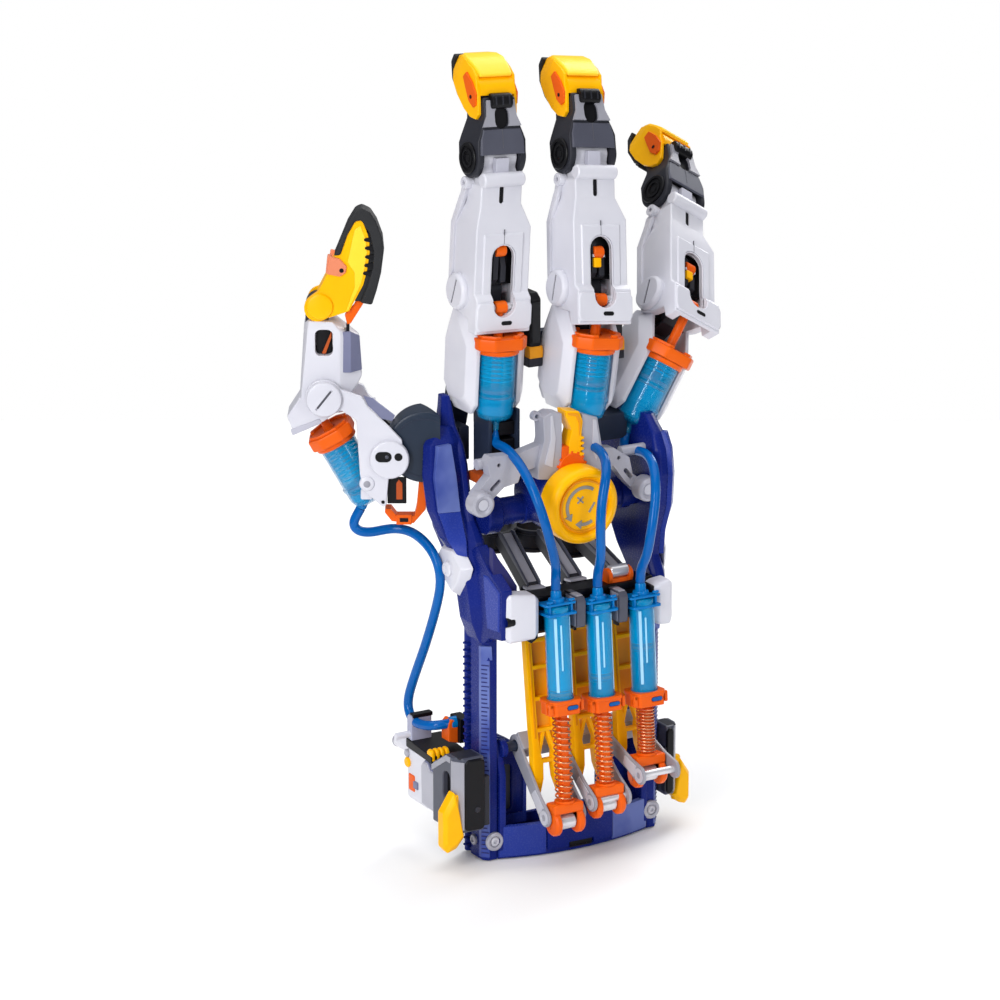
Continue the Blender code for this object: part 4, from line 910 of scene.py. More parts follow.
def bracket():
    """Black cross bracket with white end caps, tall grey clips and an orange roller."""
    bar = prism([(-43.6, 110), (-43.9, 120), (-42, 123.4), (-37.6, 124), (-37.6, 108), (-42, 108)], "X", -39.6,
        39.6)
    parts = Parts()
    parts.add(BLACK, bar, 0.7)
    top = prism([(-37.2, -31), (-37.2, -41), (-22, -44), (26, -44), (37.2, -41), (37.2, -31)], "Z", 122.6, 126)
    parts.add(BLACK, top, 0.9)
    parts.add(NAVY, box(-39.6, 39.6, -38.4, -30.6, 118.8, 123.4), 0.7)
    for centre in FINGERS:
        cx, cz = input_x(centre), INPUT_TOP[centre]
        for s in (-1, 1):
            parts.add(BLACK, box(cx + s * 9.3 - 0.6, cx + s * 9.3 + 0.6, -46, -42, cz - 14, cz + 2.6), 0.25)
    for x, z in ((-8.3, 124.6), (13.9, 123.4)):
        clip = prism([(-53.0, z - 13), (-53.8, z - 12), (-53.8, z - 0.8), (-52.4, z + 1.2), (-46, z + 1.6),
            (-41, z + 1.6), (-41, z - 13)], "X", x - 2.3, x + 2.3)
        parts.add(GREY_SHADE, clip, 0.45)
        parts.add(PALE, box(x - 2.5, x - 1.9, -52.6, -42, z - 12.4, z + 0.8), 0.25)
        parts.add(PALE, box(x - 1.7, x + 1.7, -52, -46.5, z + 1.3, z + 1.9), 0.25)
    # white end caps: bevelled blocks with a dark band where they meet the bracket
    left = layers("X", (rounded(-48.6, -41, 110.6, 130.4, 1.5), -45.4), (rounded(-50.8, -41, 108.4, 131.4, 2),
        -43.0), (rounded(-51.6, -41, 109, 129.8, 2), -30.8), (rounded(-49.8, -41, 111, 127.6, 1.5), -28.3))
    slot = prism(obround((-47.2, 118.6), 8.4, 4.4), "X", -60, -41.3)
    cut(left, slot)
    parts.add(WHITE, left, 0.6)
    parts.add(BLACK, prism(obround((-47.2, 118.6), 8.2, 4.2), "X", -42.4, -41.0))
    inner_slot = cut(prism(obround((-47.2, 118.6), 8.4, 4.4), "X", -45.0, -41.4),
        prism(obround((-47.2, 118.6), 8.0, 4.0), "X", -60, -40))
    parts.add(BLACK, inner_slot)
    dark = layers("X", (rounded(-50.4, -41, 106.6, 128.6, 2), -31.6), (rounded(-48.8, -41, 108, 126.8, 1.5),
        -27.9))
    parts.add(BLACK, dark, 0.4)
    right = layers("X", (rounded(-49.4, -41, 107.5, 123.5, 1.5), 31.6), (rounded(-52, -41, 105.4, 125.2, 2),
        34.4), (rounded(-51.4, -41, 104.6, 125.8, 2), 40.4), (rounded(-48.6, -41, 107, 123.8, 1.5), 43.0))
    parts.add(WHITE, right, 0.6)
    parts.add(BLACK, box(30.2, 32.4, -50.2, -41.6, 106, 124.2), 0.6)
    # orange roller with a pale pin over the ring cylinder
    for x in (13.6, 24.4):
        ring = turned(even([(0, -1.1), (3.4, -1.1), (3.8, -0.7)]), 32, "X")
        parts.add(ORANGE, moved(ring, x=x, y=-39.8, z=128.6))
    parts.add(ORANGE, box(13.6, 24.4, -42.6, -36.8, 125.2, 127.8), 0.5)
    parts.add(PIN, moved(turned(even([(0, -4.6), (2.6, -4.6), (2.9, -4.2)]), 32, "X"), x=19.0, y=-39.8,
        z=130.6))
    cover("tube_bracket", "frame", HERE, parts, "black_plastic")


bracket()

# --- tubes ---

TUBE_D = 4.4
CURVE_STEPS = 24


def smooth_route(points, samples, rounds):
    """Even samples of a Catmull-Rom curve through the route's points, eased round by round."""
    points = [Vector(p) for p in points]
    padded = [points[0] * 2 - points[1], *points, points[-1] * 2 - points[-2]]
    fine = []
    for i in range(1, len(padded) - 2):
        p0, p1, p2, p3 = padded[i - 1:i + 3]
        for k in range(CURVE_STEPS):
            t = k / CURVE_STEPS
            fine.append(0.5 * (2 * p1 + (p2 - p0) * t + (2 * p0 - 5 * p1 + 4 * p2 - p3) * t * t
                + (3 * p1 - p0 - 3 * p2 + p3) * t ** 3))
    fine.append(points[-1])
    length = [0.0]
    for a, b in zip(fine, fine[1:]):
        length.append(length[-1] + (b - a).length)
    result = []
    k = 0
    for i in range(samples):
        target = length[-1] * i / (samples - 1)
        while k < len(fine) - 2 and length[k + 1] < target:
            k += 1
        part = (target - length[k]) / max(length[k + 1] - length[k], 1e-9)
        result.append(fine[k].lerp(fine[k + 1], min(part, 1.0)))
    for _ in range(rounds):
        eased = [a.lerp((before + after) / 2, 0.5) for before, a, after in zip(result, result[1:], result[2:])]
        result = [result[0], *eased, result[-1]]
    return result


def swept(points, radius):
    """Closed tube along the points, with a frame carried along without twist."""
    bm = bmesh.new()
    rings = []
    up = Vector((0.3, 0.2, 1)).normalized()
    for i, point in enumerate(points):
        ahead = points[min(i + 1, len(points) - 1)] - points[max(i - 1, 0)]
        ahead.normalize()
        up = (up - ahead * up.dot(ahead)).normalized()
        side = ahead.cross(up)
        ring = []
        for k in range(TUBE_SIDES):
            turn = math.tau * k / TUBE_SIDES
            ring.append(bm.verts.new(point + radius * (math.cos(turn) * up + math.sin(turn) * side)))
        rings.append(ring)
    for first, second in zip(rings, rings[1:]):
        for k in range(TUBE_SIDES):
            bm.faces.new((first[k], first[(k + 1) % TUBE_SIDES], second[(k + 1) % TUBE_SIDES], second[k]))
    bm.faces.new(rings[0])
    bm.faces.new(rings[-1])
    return solid(bm)


def hose(name, node, points):
    """Water tube swept along the points, fixed in the world in place of the CAD tube."""
    piece = assemble(name, None, HERE, [(swept(points, TUBE_D / 2), HOSE)], [node])
    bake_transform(piece)


TUBE_VIA = {
    "index": [(-31.5, -22, 192.5), (-32.5, -34, 191), (-33, -46, 185.5), (-32, -56, 174), (-28, -58.5, 158),
              (-22.5, -55.5, 143)],
    "middle": [(10, -33, 189), (8.5, -45, 187.5), (4, -54.5, 182), (-0.5, -57.5, 170), (-1.2, -58, 155),
               (1, -55, 141)],
    "ring": [(36.6, -23, 180.5), (36.4, -34, 182.5), (34, -46, 180), (29.5, -55, 167), (25.6, -57.5, 152),
             (24.6, -55, 138)],
}
for finger in FINGERS:
    mount_at = finger_frames(finger)[0]
    top = mount_at @ Vector((0, OUT_Y * MM, -62.4 * MM)) / MM
    lead = mount_at @ Vector((0, (OUT_Y - 0.6) * MM, -69.4 * MM)) / MM
    unit_at = place_at(input_x(finger), INPUT_Y, INPUT_TOP[finger], rx=INPUT_TILT)
    end = unit_at @ Vector((0, 0, 6.5 * MM)) / MM
    tail = unit_at @ Vector((0, 0, 14.0 * MM)) / MM
    points = smooth_route([end, tail, *TUBE_VIA[finger][::-1], lead, top], 90, 45)
    hose(f"{finger}_tube_look", f"{finger}_tube", points)

THUMB_AT = place_at(-52, 4, 0, rz=-30)
lean, nozzle = math.radians(-29.4), math.radians(20.6)
foot = Vector((-29.8 + math.cos(lean) + math.sin(lean), 0, 166.6 - math.sin(lean) + math.cos(lean)))
outlet = foot - 9.3 * Vector((math.sin(nozzle), 0, math.cos(nozzle)))
step = outlet - foot
route = [THUMB_AT @ (Vector(p) * MM) / MM for p in (outlet, outlet + step * 0.35, (-37.5, 0, 152),
    (-34, 0, 147.8), (-27, 1, 147.6), (-19, 3, 149))]
route += [Vector(p) for p in ((-60, 8, 148), (-56.8, -5, 141), (-55.5, -9, 130), (-55.5, -5, 116), (-56, 4, 96),
    (-57, 14, 76), (-58, 18.5, 63), (-58.5, 14, 57), (-58.8, 6, 56.5), (-57.6, -2, 58), (-55.4, -5.8, 59),
    (-49.5, -6, 59))]
points = smooth_route(route, 180, 30)[::-1]
split = min(range(len(points)), key=lambda i: abs(points[i].z - 118) + (60 if points[i].y > 0 else 0))
hose("thumb_tube_lower_look", "thumb_tube", points[:split + 1])
hose("thumb_tube_upper_look", "thumb_tube", points[split:])

# --- side frames ---


def skinned(sections):
    """Closed body through matching sections; each section is (z, [(x, y), ...])."""
    bm = bmesh.new()
    rings = [[bm.verts.new((x, y, z)) for x, y in ring] for z, ring in sections]
    for lower, upper in zip(rings, rings[1:]):
        for k in range(len(lower)):
            bm.faces.new((lower[k], lower[(k + 1) % len(lower)], upper[(k + 1) % len(lower)], upper[k]))
    bm.faces.new(rings[0][::-1])
    bm.faces.new(rings[-1])
    return solid(bm)


def frame_ring(side, inner, outer, front, back, edge, ridge, drop):
    """Six corners: inner back, inner front, ridge inner, ridge outer, outer front, outer back."""
    ring = [(inner, back), (inner, front + edge), (inner + edge, front), (ridge, front + 0.3),
        (outer, front + drop), (outer - 0.8, back)]
    return [(side * x, y) for x, y in ring]


TICKS, TICK_PITCH = 46, 2.0
TEETH, TOOTH_PITCH = 30, 3.35


def on_side(side, *outline):
    return [(side * a, b) for a, b in outline]


def rail(side, parts):
    """Grooved rail, tick strip in painted sheen on the front corner, its end block in painted sheen and rack teeth
    on the back.
    """
    bar = prism(on_side(side, (40, -15), (40, -33), (44.4, -33), (46.6, -30.6), (46.6, -20.4), (45.4, -19.6),
        (45.4, -17.6), (47, -16.6), (47, -15)), "Z", 0, 110)
    parts.add(BLUE, bar, 0.35)
    strip = on_side(side, (43.6, -32.9), (44.2, -33.4), (46.9, -30.5), (46.9, -28.4), (46.4, -28.4), (44, -31))
    parts.add(BLUE_SHEEN, prism(strip, "Z", 1.5, 96), 0.15)
    for i in range(TICKS):
        z = 3.5 + TICK_PITCH * i
        deep = 0.9 if i % 5 else 1.5    # every fifth tick is longer
        tick = on_side(side, (45.9 - deep, -31.75 - deep * 1.08), (46.9, -30.67), (46.5, -30.2),
            (45.5 - deep, -31.2 - deep * 1.08))
        parts.add(NAVY_BLUE, moved(prism(tick, "Z", z, z + 0.45), x=side * 0.1, y=-0.1))
    low = on_side(side, (42.6, -33.5), (47.2, -31.4), (47.2, -28.8), (42.6, -32))
    high = on_side(side, (43.4, -34.2), (47.7, -31.8), (47.7, -29.6), (43.4, -32.6))
    parts.add(BLUE_SHEEN, layers("Z", (low, 96), (high, 103)), 0.3)
    for i in range(TEETH):
        z = 2.2 + TOOTH_PITCH * i
        tooth = on_side(side, (45.2, z), (47.6, z + 0.25), (48.1, z + 0.85), (47.6, z + 1.45), (45.2, z + 1.7))
        parts.add(BLUE, prism(tooth, "Y", -19.4, -15.4), 0.3, 2)


def shoulder(parts):
    """What carries the bracket on the left frame: side wall, panel in dim painted sheen and inner web."""
    wall = [(-24, 104.6), (-33, 104.6), (-38, 108.6), (-49, 110.2), (-49.4, 133.4), (-37.4, 140.2), (-27, 149),
        (-22, 146)]
    parts.add(BLUE, prism(wall, "X", -47.0, -41.6), 0.6)
    outer = [(-36.6, 112.4), (-47.6, 113.4), (-48, 132.6), (-37, 137.8), (-32.8, 137.6)]
    inner = [(-37.2, 113.2), (-47, 114.2), (-47.4, 132), (-37, 136.8), (-33.8, 136.8)]
    parts.add(BLUE_DIM_SHEEN, layers("X", (outer, -46.4), (inner, -47.7)), 0.3)
    web = [(-46, 151), (-43, 145.5), (-38, 138.5), (-33.6, 131.6), (-33.6, 126), (-46, 126)]
    parts.add(NAVY_BLUE, prism(web, "Y", -40, -36), 0.5)


def side_frame(side):
    left = side < 0
    name = "side_frame_left" if left else "side_frame_right"
    if left:
        rows = [(104, 40, 47.4, -33, -17, 1.2, 45, 3), (113, 40, 50, -32.6, -15, 2, 46.6, 5),
            (124, 40, 50.6, -30.6, -13, 2.4, 46.8, 5), (132, 40, 50.6, -28.4, -8, 2.4, 46.8, 5),
            (138, 40, 50.4, -27.4, -2.6, 2.2, 46.4, 6), (149, 40, 50.2, -23.6, 9.5, 2, 45, 7),
            (157, 40, 50.2, -16, 13, 2, 44.4, 7), (170, 40, 50.2, -11, 16.5, 2, 44, 8),
            (181, 40.2, 50.2, -9, 14.6, 2, 44.4, 8), (190, 41, 50, -6, 11.5, 1.6, 45.4, 6.5),
            (198, 42.6, 49.6, -1.5, 8, 1.2, 46, 2.5), (206, 44, 49.2, -0.6, 6.5, 0.8, 46.8, 1.6),
            (212, 45.2, 49, 0, 6, 0.6, 47, 1.2)]
    else:
        rows = [(104, 40, 47.4, -33, -17, 1.2, 45, 3), (113, 40, 49.8, -38.6, -15, 2, 46, 6),
            (124, 40, 50.4, -37, -12, 2.4, 46, 7), (132, 40, 50.4, -32, -4, 2.4, 46, 7),
            (144, 40, 50.2, -33.5, 4, 2.2, 46, 6.5), (157, 40, 50.2, -38.2, 12, 2, 46, 5),
            (172, 40.2, 50.2, -39.2, 16, 2, 46, 5), (183, 40.4, 50, -37.4, 16.5, 2, 46, 5),
            (190, 41.6, 49.4, -33, 14, 1.6, 46, 4), (197, 43, 48.8, -24, 6, 1.2, 46, 3)]
    body = skinned([(z, frame_ring(side, *row)) for z, *row in rows])
    parts = Parts()
    parts.add(BLUE, body, 0.9, 2, 12)
    if left:
        # housing that the thumb's drum enters: corner inside, corner outside, outer edge, two back corners
        swell = [(143, (-47, -23.4), (-51.4, -16), (-51.6, -10), (-50.6, -4), (-46, 0)),
            (150, (-47, -19.6), (-55.5, -14), (-56.2, -8), (-54, -2), (-46, 1)),
            (162, (-47, -13), (-59, -10.5), (-60.4, -5), (-57, 1), (-47, 4)),
            (178, (-47.5, -9.6), (-60.4, -9), (-62, -4), (-59, 2), (-48, 6)),
            (192, (-47.5, -6.6), (-59.4, -7.6), (-61.2, -3.6), (-58, 1.5), (-48, 4)),
            (198.5, (-47.5, -2), (-50.8, 0.6), (-51.6, 3.2), (-50, 5.4), (-46, 6))]
        house = skinned([(z, [(-43, c[1] + 2), c, b, a, k, m, (-43, m[1])]) for z, c, b, a, k, m in swell])
        parts.add(BLUE, house, 0.7, 2, 12)
        runs = ((swell[:3], BLUE_DIM_SHEEN), (swell[2:5], BLUE_SHEEN))
    else:
        runs = (([(z, (side * ridge, front + 0.3), (side * outer, front + drop)) for z, _, outer, front, _, _,
            ridge, drop in rows[3:-1]], BLUE_DIM_SHEEN),)
    # facets of painted sheen laid on the outer front corner, dimmer low down and brighter higher up on the left
    # frame
    for chosen, look in runs:
        facet = []
        for z, inside, outside, *_ in chosen:
            a, b = Vector(inside), Vector(outside)
            out = Vector((b.y - a.y, a.x - b.x)).normalized() * (-0.55 * side)
            reach = 0.3 if z in (143, 192) else 0.42
            a, b = a.lerp(b, 0.5 - reach) + out, a.lerp(b, 0.5 + reach) + out
            facet.append((z, [tuple(q) for q in (a - out * 5, a, b, b - out * 5)]))
        parts.add(look, skinned(facet), 0.3, 2)
    if left:
        shoulder(parts)
    else:
        tail = prism([(3, 174), (5, 192), (15.4, 192), (16.4, 176)], "X", 41, 49.4)
        parts.add(BLUE, tail, 0.9)
    rail(side, parts)
    # white pads with a round boss
    if left:
        pad = layers("X", ([(-1, 133), (-0.4, 140.4), (-4.6, 146), (-17, 147.4), (-27.6, 138.6), (-23.6, 129.6),
            (-16.6, 122), (-6, 129)], 48.8),
            ([(-4, 134), (-3.4, 139.6), (-6.4, 143.6), (-16, 144.6), (-24, 137.8), (-21, 131), (-16, 125.6),
            (-7.6, 131)], 54.0))
        boss, at_y, at_z = 55.6, -13.4, 135.6
    else:
        pad = layers("X", ([(-30, 122), (-12, 124), (-8, 140), (-14, 150), (-24, 146), (-31, 134)], 49.8),
            ([(-27, 126), (-14, 127), (-11, 139), (-15, 145.5), (-23, 142.5), (-28, 133)], 52.8))
        boss, at_y, at_z = 53.8, -19.4, 136.0
    if left:
        mirrored(pad)
    parts.add(WHITE, pad, 0.7)
    cap = turned([(0, 52), (3.6, 52), (3.6, boss - 0.5), (2.9, boss), (1.9, boss), (1.7, boss - 0.5),
        (0, boss - 0.5)], 32, "X")
    moved(cap, y=at_y, z=at_z)
    parts.add(WHITE, mirrored(cap) if left else cap)
    # screw on the outer face of the rail, and an inset plate on the right frame
    screw = turned([(0, 49.4), (2.4, 49.4), (2.4, 51), (2, 51.3), (1.2, 51.3), (1, 50.7), (0, 50.7)], 24, "X")
    moved(screw, x=-3.4, y=-24, z=8)
    parts.add(SILVER, mirrored(screw) if left else screw)
    if not left:
        inset = layers("X", ([(-24, 152), (8, 160), (9, 176), (-24, 184)], 49.8),
            ([(-22, 154.5), (6, 161.8), (7, 174.6), (-22, 181)], 50.8))
        parts.add(BLUE, inset, 0.4)
    cover(name, "frame", HERE, parts, "deep_blue_plastic")


side_frame(-1)
side_frame(1)

# --- base ---


def band(x0, x1, out, z0, z1, deep=2.4, steps=10):
    """Stretch of the bowed front band between two x positions."""
    def front(x):
        return -33.0 - 7.0 * (1 - (x / 39.7) ** 2)
    xs = [x0 + (x1 - x0) * i / steps for i in range(steps + 1)]
    outline = [(x, front(x) - out) for x in xs] + [(x, front(x) + deep) for x in xs[::-1]]
    return prism(outline, "Z", z0, z1)


def base():
    parts = Parts()
    parts.add(BLUE, band(-39.7, 39.7, 0, 0, 13.6, 3.4, 26), 0.4)
    # outer stretches of the front band in painted sheen: dim on the left, brighter on the right
    parts.add(BLUE_DIM_SHEEN, band(-39.4, -17.6, 0.9, 1, 15.6), 0.5)
    parts.add(BLUE_SHEEN, band(17.6, 39.4, 0.9, 1, 15.6), 0.5)
    middle = band(-17.2, 17.2, 1.5, 2.4, 17)
    cut(middle, box(-6.5, 6.5, -60, -39.6, 2, 4.6))
    parts.add(BLUE, middle, 0.5)
    parts.add(BLACK, box(-5.8, 5.8, -40.6, -39.4, 1.6, 4.4))
    tray = [(-39.7, -15), (-39.7, -31.5), (-30, -34.4), (-18, -37.2), (0, -38.6), (18, -37.2), (30, -34.4),
        (39.7, -31.5), (39.7, -15)]
    parts.add(NAVY_BLUE, prism(tray, "Z", 0.3, 8.4), 0.5)
    rim = prism([(x * 0.985, y) for x, y in tray], "Z", 8.2, 13.2)
    cut(rim, prism([(x * 0.93, y + (2.6 if y < -20 else -2.4)) for x, y in tray], "Z", 0, 20))
    parts.add(BLUE, rim, 0.4)
    # screws with a ring and a socket
    head = [(0, 0), (4.3, 0), (4.5, 0.6), (4.3, 1.5), (3.5, 1.9), (2.7, 1.7), (2.5, 0.9), (0, 0.9)]
    socket = [(0, 0.5), (2.1, 0.5), (2.1, 1.5), (1.6, 1.9), (0.9, 1.9), (0.9, 1.1), (0, 1.1)]
    for x in (-41.8, 41.8):
        for profile, look in ((head, SILVER), (socket, PALE_SILVER)):
            screw = turned(profile, 36, "Y")
            screw.data.transform(Matrix.Rotation(math.radians(180), 4, "X"))
            parts.add(look, moved(screw, x=x, y=-33.0, z=9.2))
    # arched hump at the left, a post at each side, a plain hump at the right, and the crank shaft
    hump = [(-39.6, 10), (-18, 10), (-18, 34), (-20.6, 44), (-26, 51.4), (-33, 55.6), (-39.6, 57)]
    arch = cut(prism(hump, "Y", -21.6, -15.2), prism(rounded(-34, -26, 18, 40, 1.5), "Y", -30, 0))
    parts.add(BLUE, arch, 0.9, 3)
    # rim round the arch in dim painted sheen
    rimmed = cut(prism(scaled(hump, 0.96), "Y", -22.6, -21.2), prism(scaled(hump, 0.78), "Y", -30, 0))
    parts.add(BLUE_DIM_SHEEN, rimmed, 0.3)
    parts.add(NAVY, box(-34.6, -25.4, -20.5, -18.6, 17.4, 40.6), 0.3)
    for x0, x1 in ((36, 39.6), (-39.6, -36)):
        post = prism([(-34.6, 4), (-34.6, 40), (-30, 55), (-24, 57), (-15.2, 57), (-15.2, 4)], "X", x0, x1)
        parts.add(BLUE, post, 0.8)
    hump_right = [(39.6, 10), (22, 10), (22, 26), (26, 40), (33, 50), (39.6, 54)]
    parts.add(BLUE, prism(hump_right, "Y", -20.6, -15.2), 0.9, 3)
    shaft = rod(2.4, -37.4, 37.4, 24, "X")
    parts.add(NAVY, moved(shaft, y=CRANK_YZ[0], z=CRANK_YZ[1]))
    for x in (-37.2, -8.3, 13.9, 37.2):
        collar = turned(even([(0, -1.5), (4, -1.5), (4.4, -1.1)]), 28, "X")
        parts.add(BLUE, moved(collar, x=x * 0.97, y=CRANK_YZ[0], z=CRANK_YZ[1]))
    assemble("base_look", "frame", HERE, parts, ["base_cradle"])


base()

# --- crossbar, hub, brace and dial ---

HUB = (-3, 166)
GEAR_Z = 181.0
GEAR_TEETH = 14


def arm_plate(outline, y0, y1, *holes):
    """Softened plate across Y with through holes."""
    plate = prism(outline, "Y", y0, y1)
    for hole in holes:
        cut(plate, prism(hole, "Y", y0 - 5, y1 + 5))
    return soften(plate, 0.6)


def slot_outline(centre, length, width, angle):
    turn = math.radians(angle)
    return [(centre[0] + a * math.cos(turn) - b * math.sin(turn), centre[1] + a * math.sin(turn)
        + b * math.cos(turn)) for a, b in obround((0, 0), length, width, 8)]


def crossbar():
    parts = Parts()
    bar = even([(0, -39.6), (6.5, -39.6), (6.5, -36), (7.4, -35.6), (7.4, -31), (6.3, -30.4), (6.3, -20),
        (7, -19.6)])
    parts.add(BLUE, moved(turned(bar, 40, "X"), y=-18, z=160))
    flange = turned([(0, -40.4), (8.2, -40.4), (9, -39.6), (9, -33.6), (8.2, -32.8), (0, -32.8)], 40, "X")
    parts.add(BLUE, moved(flange, y=-18.6, z=160))
    hub = turned([(0, -35.4), (14.6, -35.4), (16.2, -34.4), (17, -32.8), (17, -21), (16, -20.4), (16, -12),
        (15, -10), (0, -10)], 56, "Y")
    parts.add(BLUE, moved(hub, x=HUB[0], z=HUB[1]))
    neck = rod(4.5, -40, -34, 28, "Y")
    parts.add(NAVY, moved(neck, x=HUB[0], z=HUB[1]))
    # elbow arms from the yoke to each side, with a hole and a slot, and their round ends
    left_arm = [(-13, 184), (-15.5, 190), (-17.5, 193.6), (-30.4, 190.6), (-43.6, 191.4), (-45.2, 189),
        (-43.8, 182.4), (-51.6, 174.6), (-50, 169), (-44.8, 169.6), (-36.6, 176.2), (-29.4, 177.4),
        (-27.6, 182), (-19.4, 183.4), (-14, 178)]
    parts.add(SILVER, arm_plate(left_arm, -33.5, -27.5, slot_outline((-41, 177.8), 6.6, 1.9, 40),
        arc((-39.2, 186.8), 0.9, 0, 330, 11)))
    right_arm = [(11, 183), (13.8, 187.6), (20.4, 186.6), (28.8, 181), (30.6, 173), (38.8, 167), (36, 162.4),
        (33, 163.6), (26.2, 170.2), (20.2, 178.2), (13, 177)]
    parts.add(SILVER, arm_plate(right_arm, -33.5, -27.5, slot_outline((28.2, 173.4), 6.2, 1.9, -50),
        arc((23.2, 181.4), 0.9, 0, 330, 11)))
    for x, z in ((-50.4, 171.4), (36, 166)):
        knob = turned([(0, -38.6), (2.8, -38.6), (3.2, -39.2), (4.4, -39.6), (5.4, -39.2), (5.8, -38.2),
            (5.8, -33), (0, -33)], 40, "Y")
        parts.add(SILVER, moved(knob, x=x, z=z))
        parts.add(PALE_SILVER, moved(rod(2.4, -38.9, -37, 32, "Y"), x=x, z=z))
    for x0, x1, z in ((-47, -40, 186.6), (28, 42.5, 182)):
        pin = rod(2.5, x0, x1, 28, "X")
        parts.add(SILVER, moved(pin, y=-26.5, z=z))
    # forked yoke over the dial
    blade = [(-20.6, 178), (-20.4, 184.4), (-17.2, 196), (-17.8, 206.4), (-13.4, 208.2), (-8, 207), (-7.8, 193),
        (-8.6, 176)]
    parts.add(SILVER, arm_plate(blade, -35.6, -27))
    right_blade = [(2.8, 205.4), (11.2, 202.4), (13.8, 188), (13.4, 183), (18.8, 180), (12, 172), (4.2, 174),
        (3, 186)]
    parts.add(SILVER, arm_plate(right_blade, -34.6, -27))
    for outline, y in (([(-17, 184.6), (-14, 196), (-14.2, 206.4), (-13, 206.8), (-11.4, 196), (-13, 182.6)],
            -36.1), ([(8.4, 202), (10.2, 201.4), (12.4, 188), (10.4, 182), (8.4, 188)], -35.1)):
        parts.add(PALE_SILVER, prism(outline, "Y", y, y + 1.2), 0.25)
    eye = turned(even([(1, -1.4), (2.2, -1.4)]), 24, "Y")
    parts.add(SILVER, moved(eye, x=-18.6, y=-30, z=206.0))
    gear = turned([(0, -36.4), (6.6, -36.4), (7, -36), (7, -30), (0, -30)], 40, "Y")
    parts.add(ORANGE, moved(gear, x=HUB[0], z=GEAR_Z))
    for i in range(GEAR_TEETH):
        tooth = soften(box(-0.6, 0.6, -36.2, -31, 6.6, 7.9), 0.2)
        turn = Matrix.Translation((HUB[0], 0, GEAR_Z)) @ Matrix.Rotation(math.tau * i / GEAR_TEETH, 4, "Y")
        tooth.data.transform(turn)
        parts.add(ORANGE, tooth)
    # dark ladder block and bar behind the arms
    for z in (178, 186, 194):
        parts.add(BLACK, box(-33, -19.5, -14, -3, z, z + 6.2), 0.5)
    parts.add(NAVY, box(-34.6, -32.6, -16, -2, 172, 206), 0.5)
    parts.add(NAVY, box(-20, -18.2, -16, -2, 172, 206), 0.5)
    parts.add(BLACK, box(-32.6, -19.8, -8, -4, 172, 206), 0.4)
    # orange block behind the arm in painted shade
    parts.add(ORANGE_SHADE, box(-39.6, -34, -16, -6, 173.5, 178), 0.5)
    parts.add(NAVY, box(19, 39.6, -14, 2, 184, 196), 0.8)
    assemble("crossbar_look", "frame", HERE, parts, ["crossbar_hub"])


crossbar()


def ring_sector(radius, width, start, end, steps=24):
    return arc((0, 0), radius + width / 2, start, end, steps) + arc((0, 0), radius - width / 2, end, start,
        steps)


def arrow(angle, radius, size, direction):
    """Arrowhead on the circle at the angle, pointing along it."""
    turn = math.radians(angle)
    radial = Vector((math.cos(turn), math.sin(turn)))
    ahead = Vector((-math.sin(turn), math.cos(turn))) * direction
    centre = radial * radius
    return [tuple(centre + radial * size), tuple(centre + ahead * size * 1.5), tuple(centre - radial * size)]


def dial():
    """Rounded dial with a dished face and generic turning marks; local Y 0 is its face."""
    profile = [(0, 12.4), (16.6, 12.4), (17.4, 11.6), (17.8, 10), (17.8, 3.6), (17.4, 2), (16.5, 0.8),
        (15.3, 0.1), (14.2, 0.25), (13.5, 1), (13.2, 2), (12.7, 2.4), (0, 2.4)]
    parts = Parts()
    parts.add(YELLOW, turned(profile, 72, "Y"))
    # rim of the dish in painted shade
    rim = turned([(11.2, 2.4), (12.3, 2.4), (12.3, 1.7), (11.9, 1.45), (11.5, 1.6), (11.2, 2)], 72, "Y")
    parts.add(YELLOW_SHADE, rim)
    marks = [ring_sector(8.6, 1.5, 55, 205), arrow(205, 8.6, 2.1, 1), ring_sector(8.6, 1.5, 262, 300, 8),
        arrow(262, 8.6, 2.1, -1)]
    for outline in marks:
        parts.add(MARK, prism(outline, "Y", 1.95, 2.6), 0.15)
    for angle in (45, -45):
        bar = soften(box(-0.38, 0.38, 1.95, 2.6, -2.1, 2.1), 0.1)
        parts.add(MARK, moved(moved(bar, ry=angle), x=-1.8, z=3.0))
    stroke = soften(box(-0.45, 0.45, 1.95, 2.6, -2.6, 2.6), 0.1)
    parts.add(MARK, moved(moved(stroke, ry=35), x=4.2, z=-1.2))
    cover("dial", "dial", place_at(HUB[0], -48.6, HUB[1]), parts, "yellow_plastic")


dial()


def rack():
    """Toothed yellow rack with an orange cheek."""
    body = prism([(-1.2, 0), (5.4, 0), (5.8, 9), (6.6, 16.6), (4.6, 21.4), (-2.6, 22.6), (-2.2, 19.6),
        (0.8, 13), (-0.8, 7)], "Y", -4.4, 3.5)
    parts = Parts()
    parts.add(YELLOW, body, 0.5)
    # edge in painted shade
    edge = prism([(4.4, 10), (5.6, 16.4), (3.8, 20.6), (-1.6, 21.4), (-1.2, 20.4), (2.8, 19.2), (4.2, 16)], "Y",
        -4.9, -4)
    parts.add(YELLOW_SHADE, edge, 0.25)
    for i in range(4):
        z = 0.4 + 2.5 * i
        tooth = prism([(5.0, z), (7.0, z + 0.5), (7.2, z + 1.4), (5.0, z + 1.9)], "Y", -4.8, 1.5)
        parts.add(YELLOW, tooth, 0.25)
    cheek = prism([(-4.4, 0.4), (-0.8, 0.4), (-0.6, 6), (-4.2, 6)], "Y", -4.6, 2)
    parts.add(ORANGE, cheek, 0.5)
    assemble("rack_look", "rack", place_at(-3.8, -31.5, 185.5), parts, ["adjust_rack"])


rack()

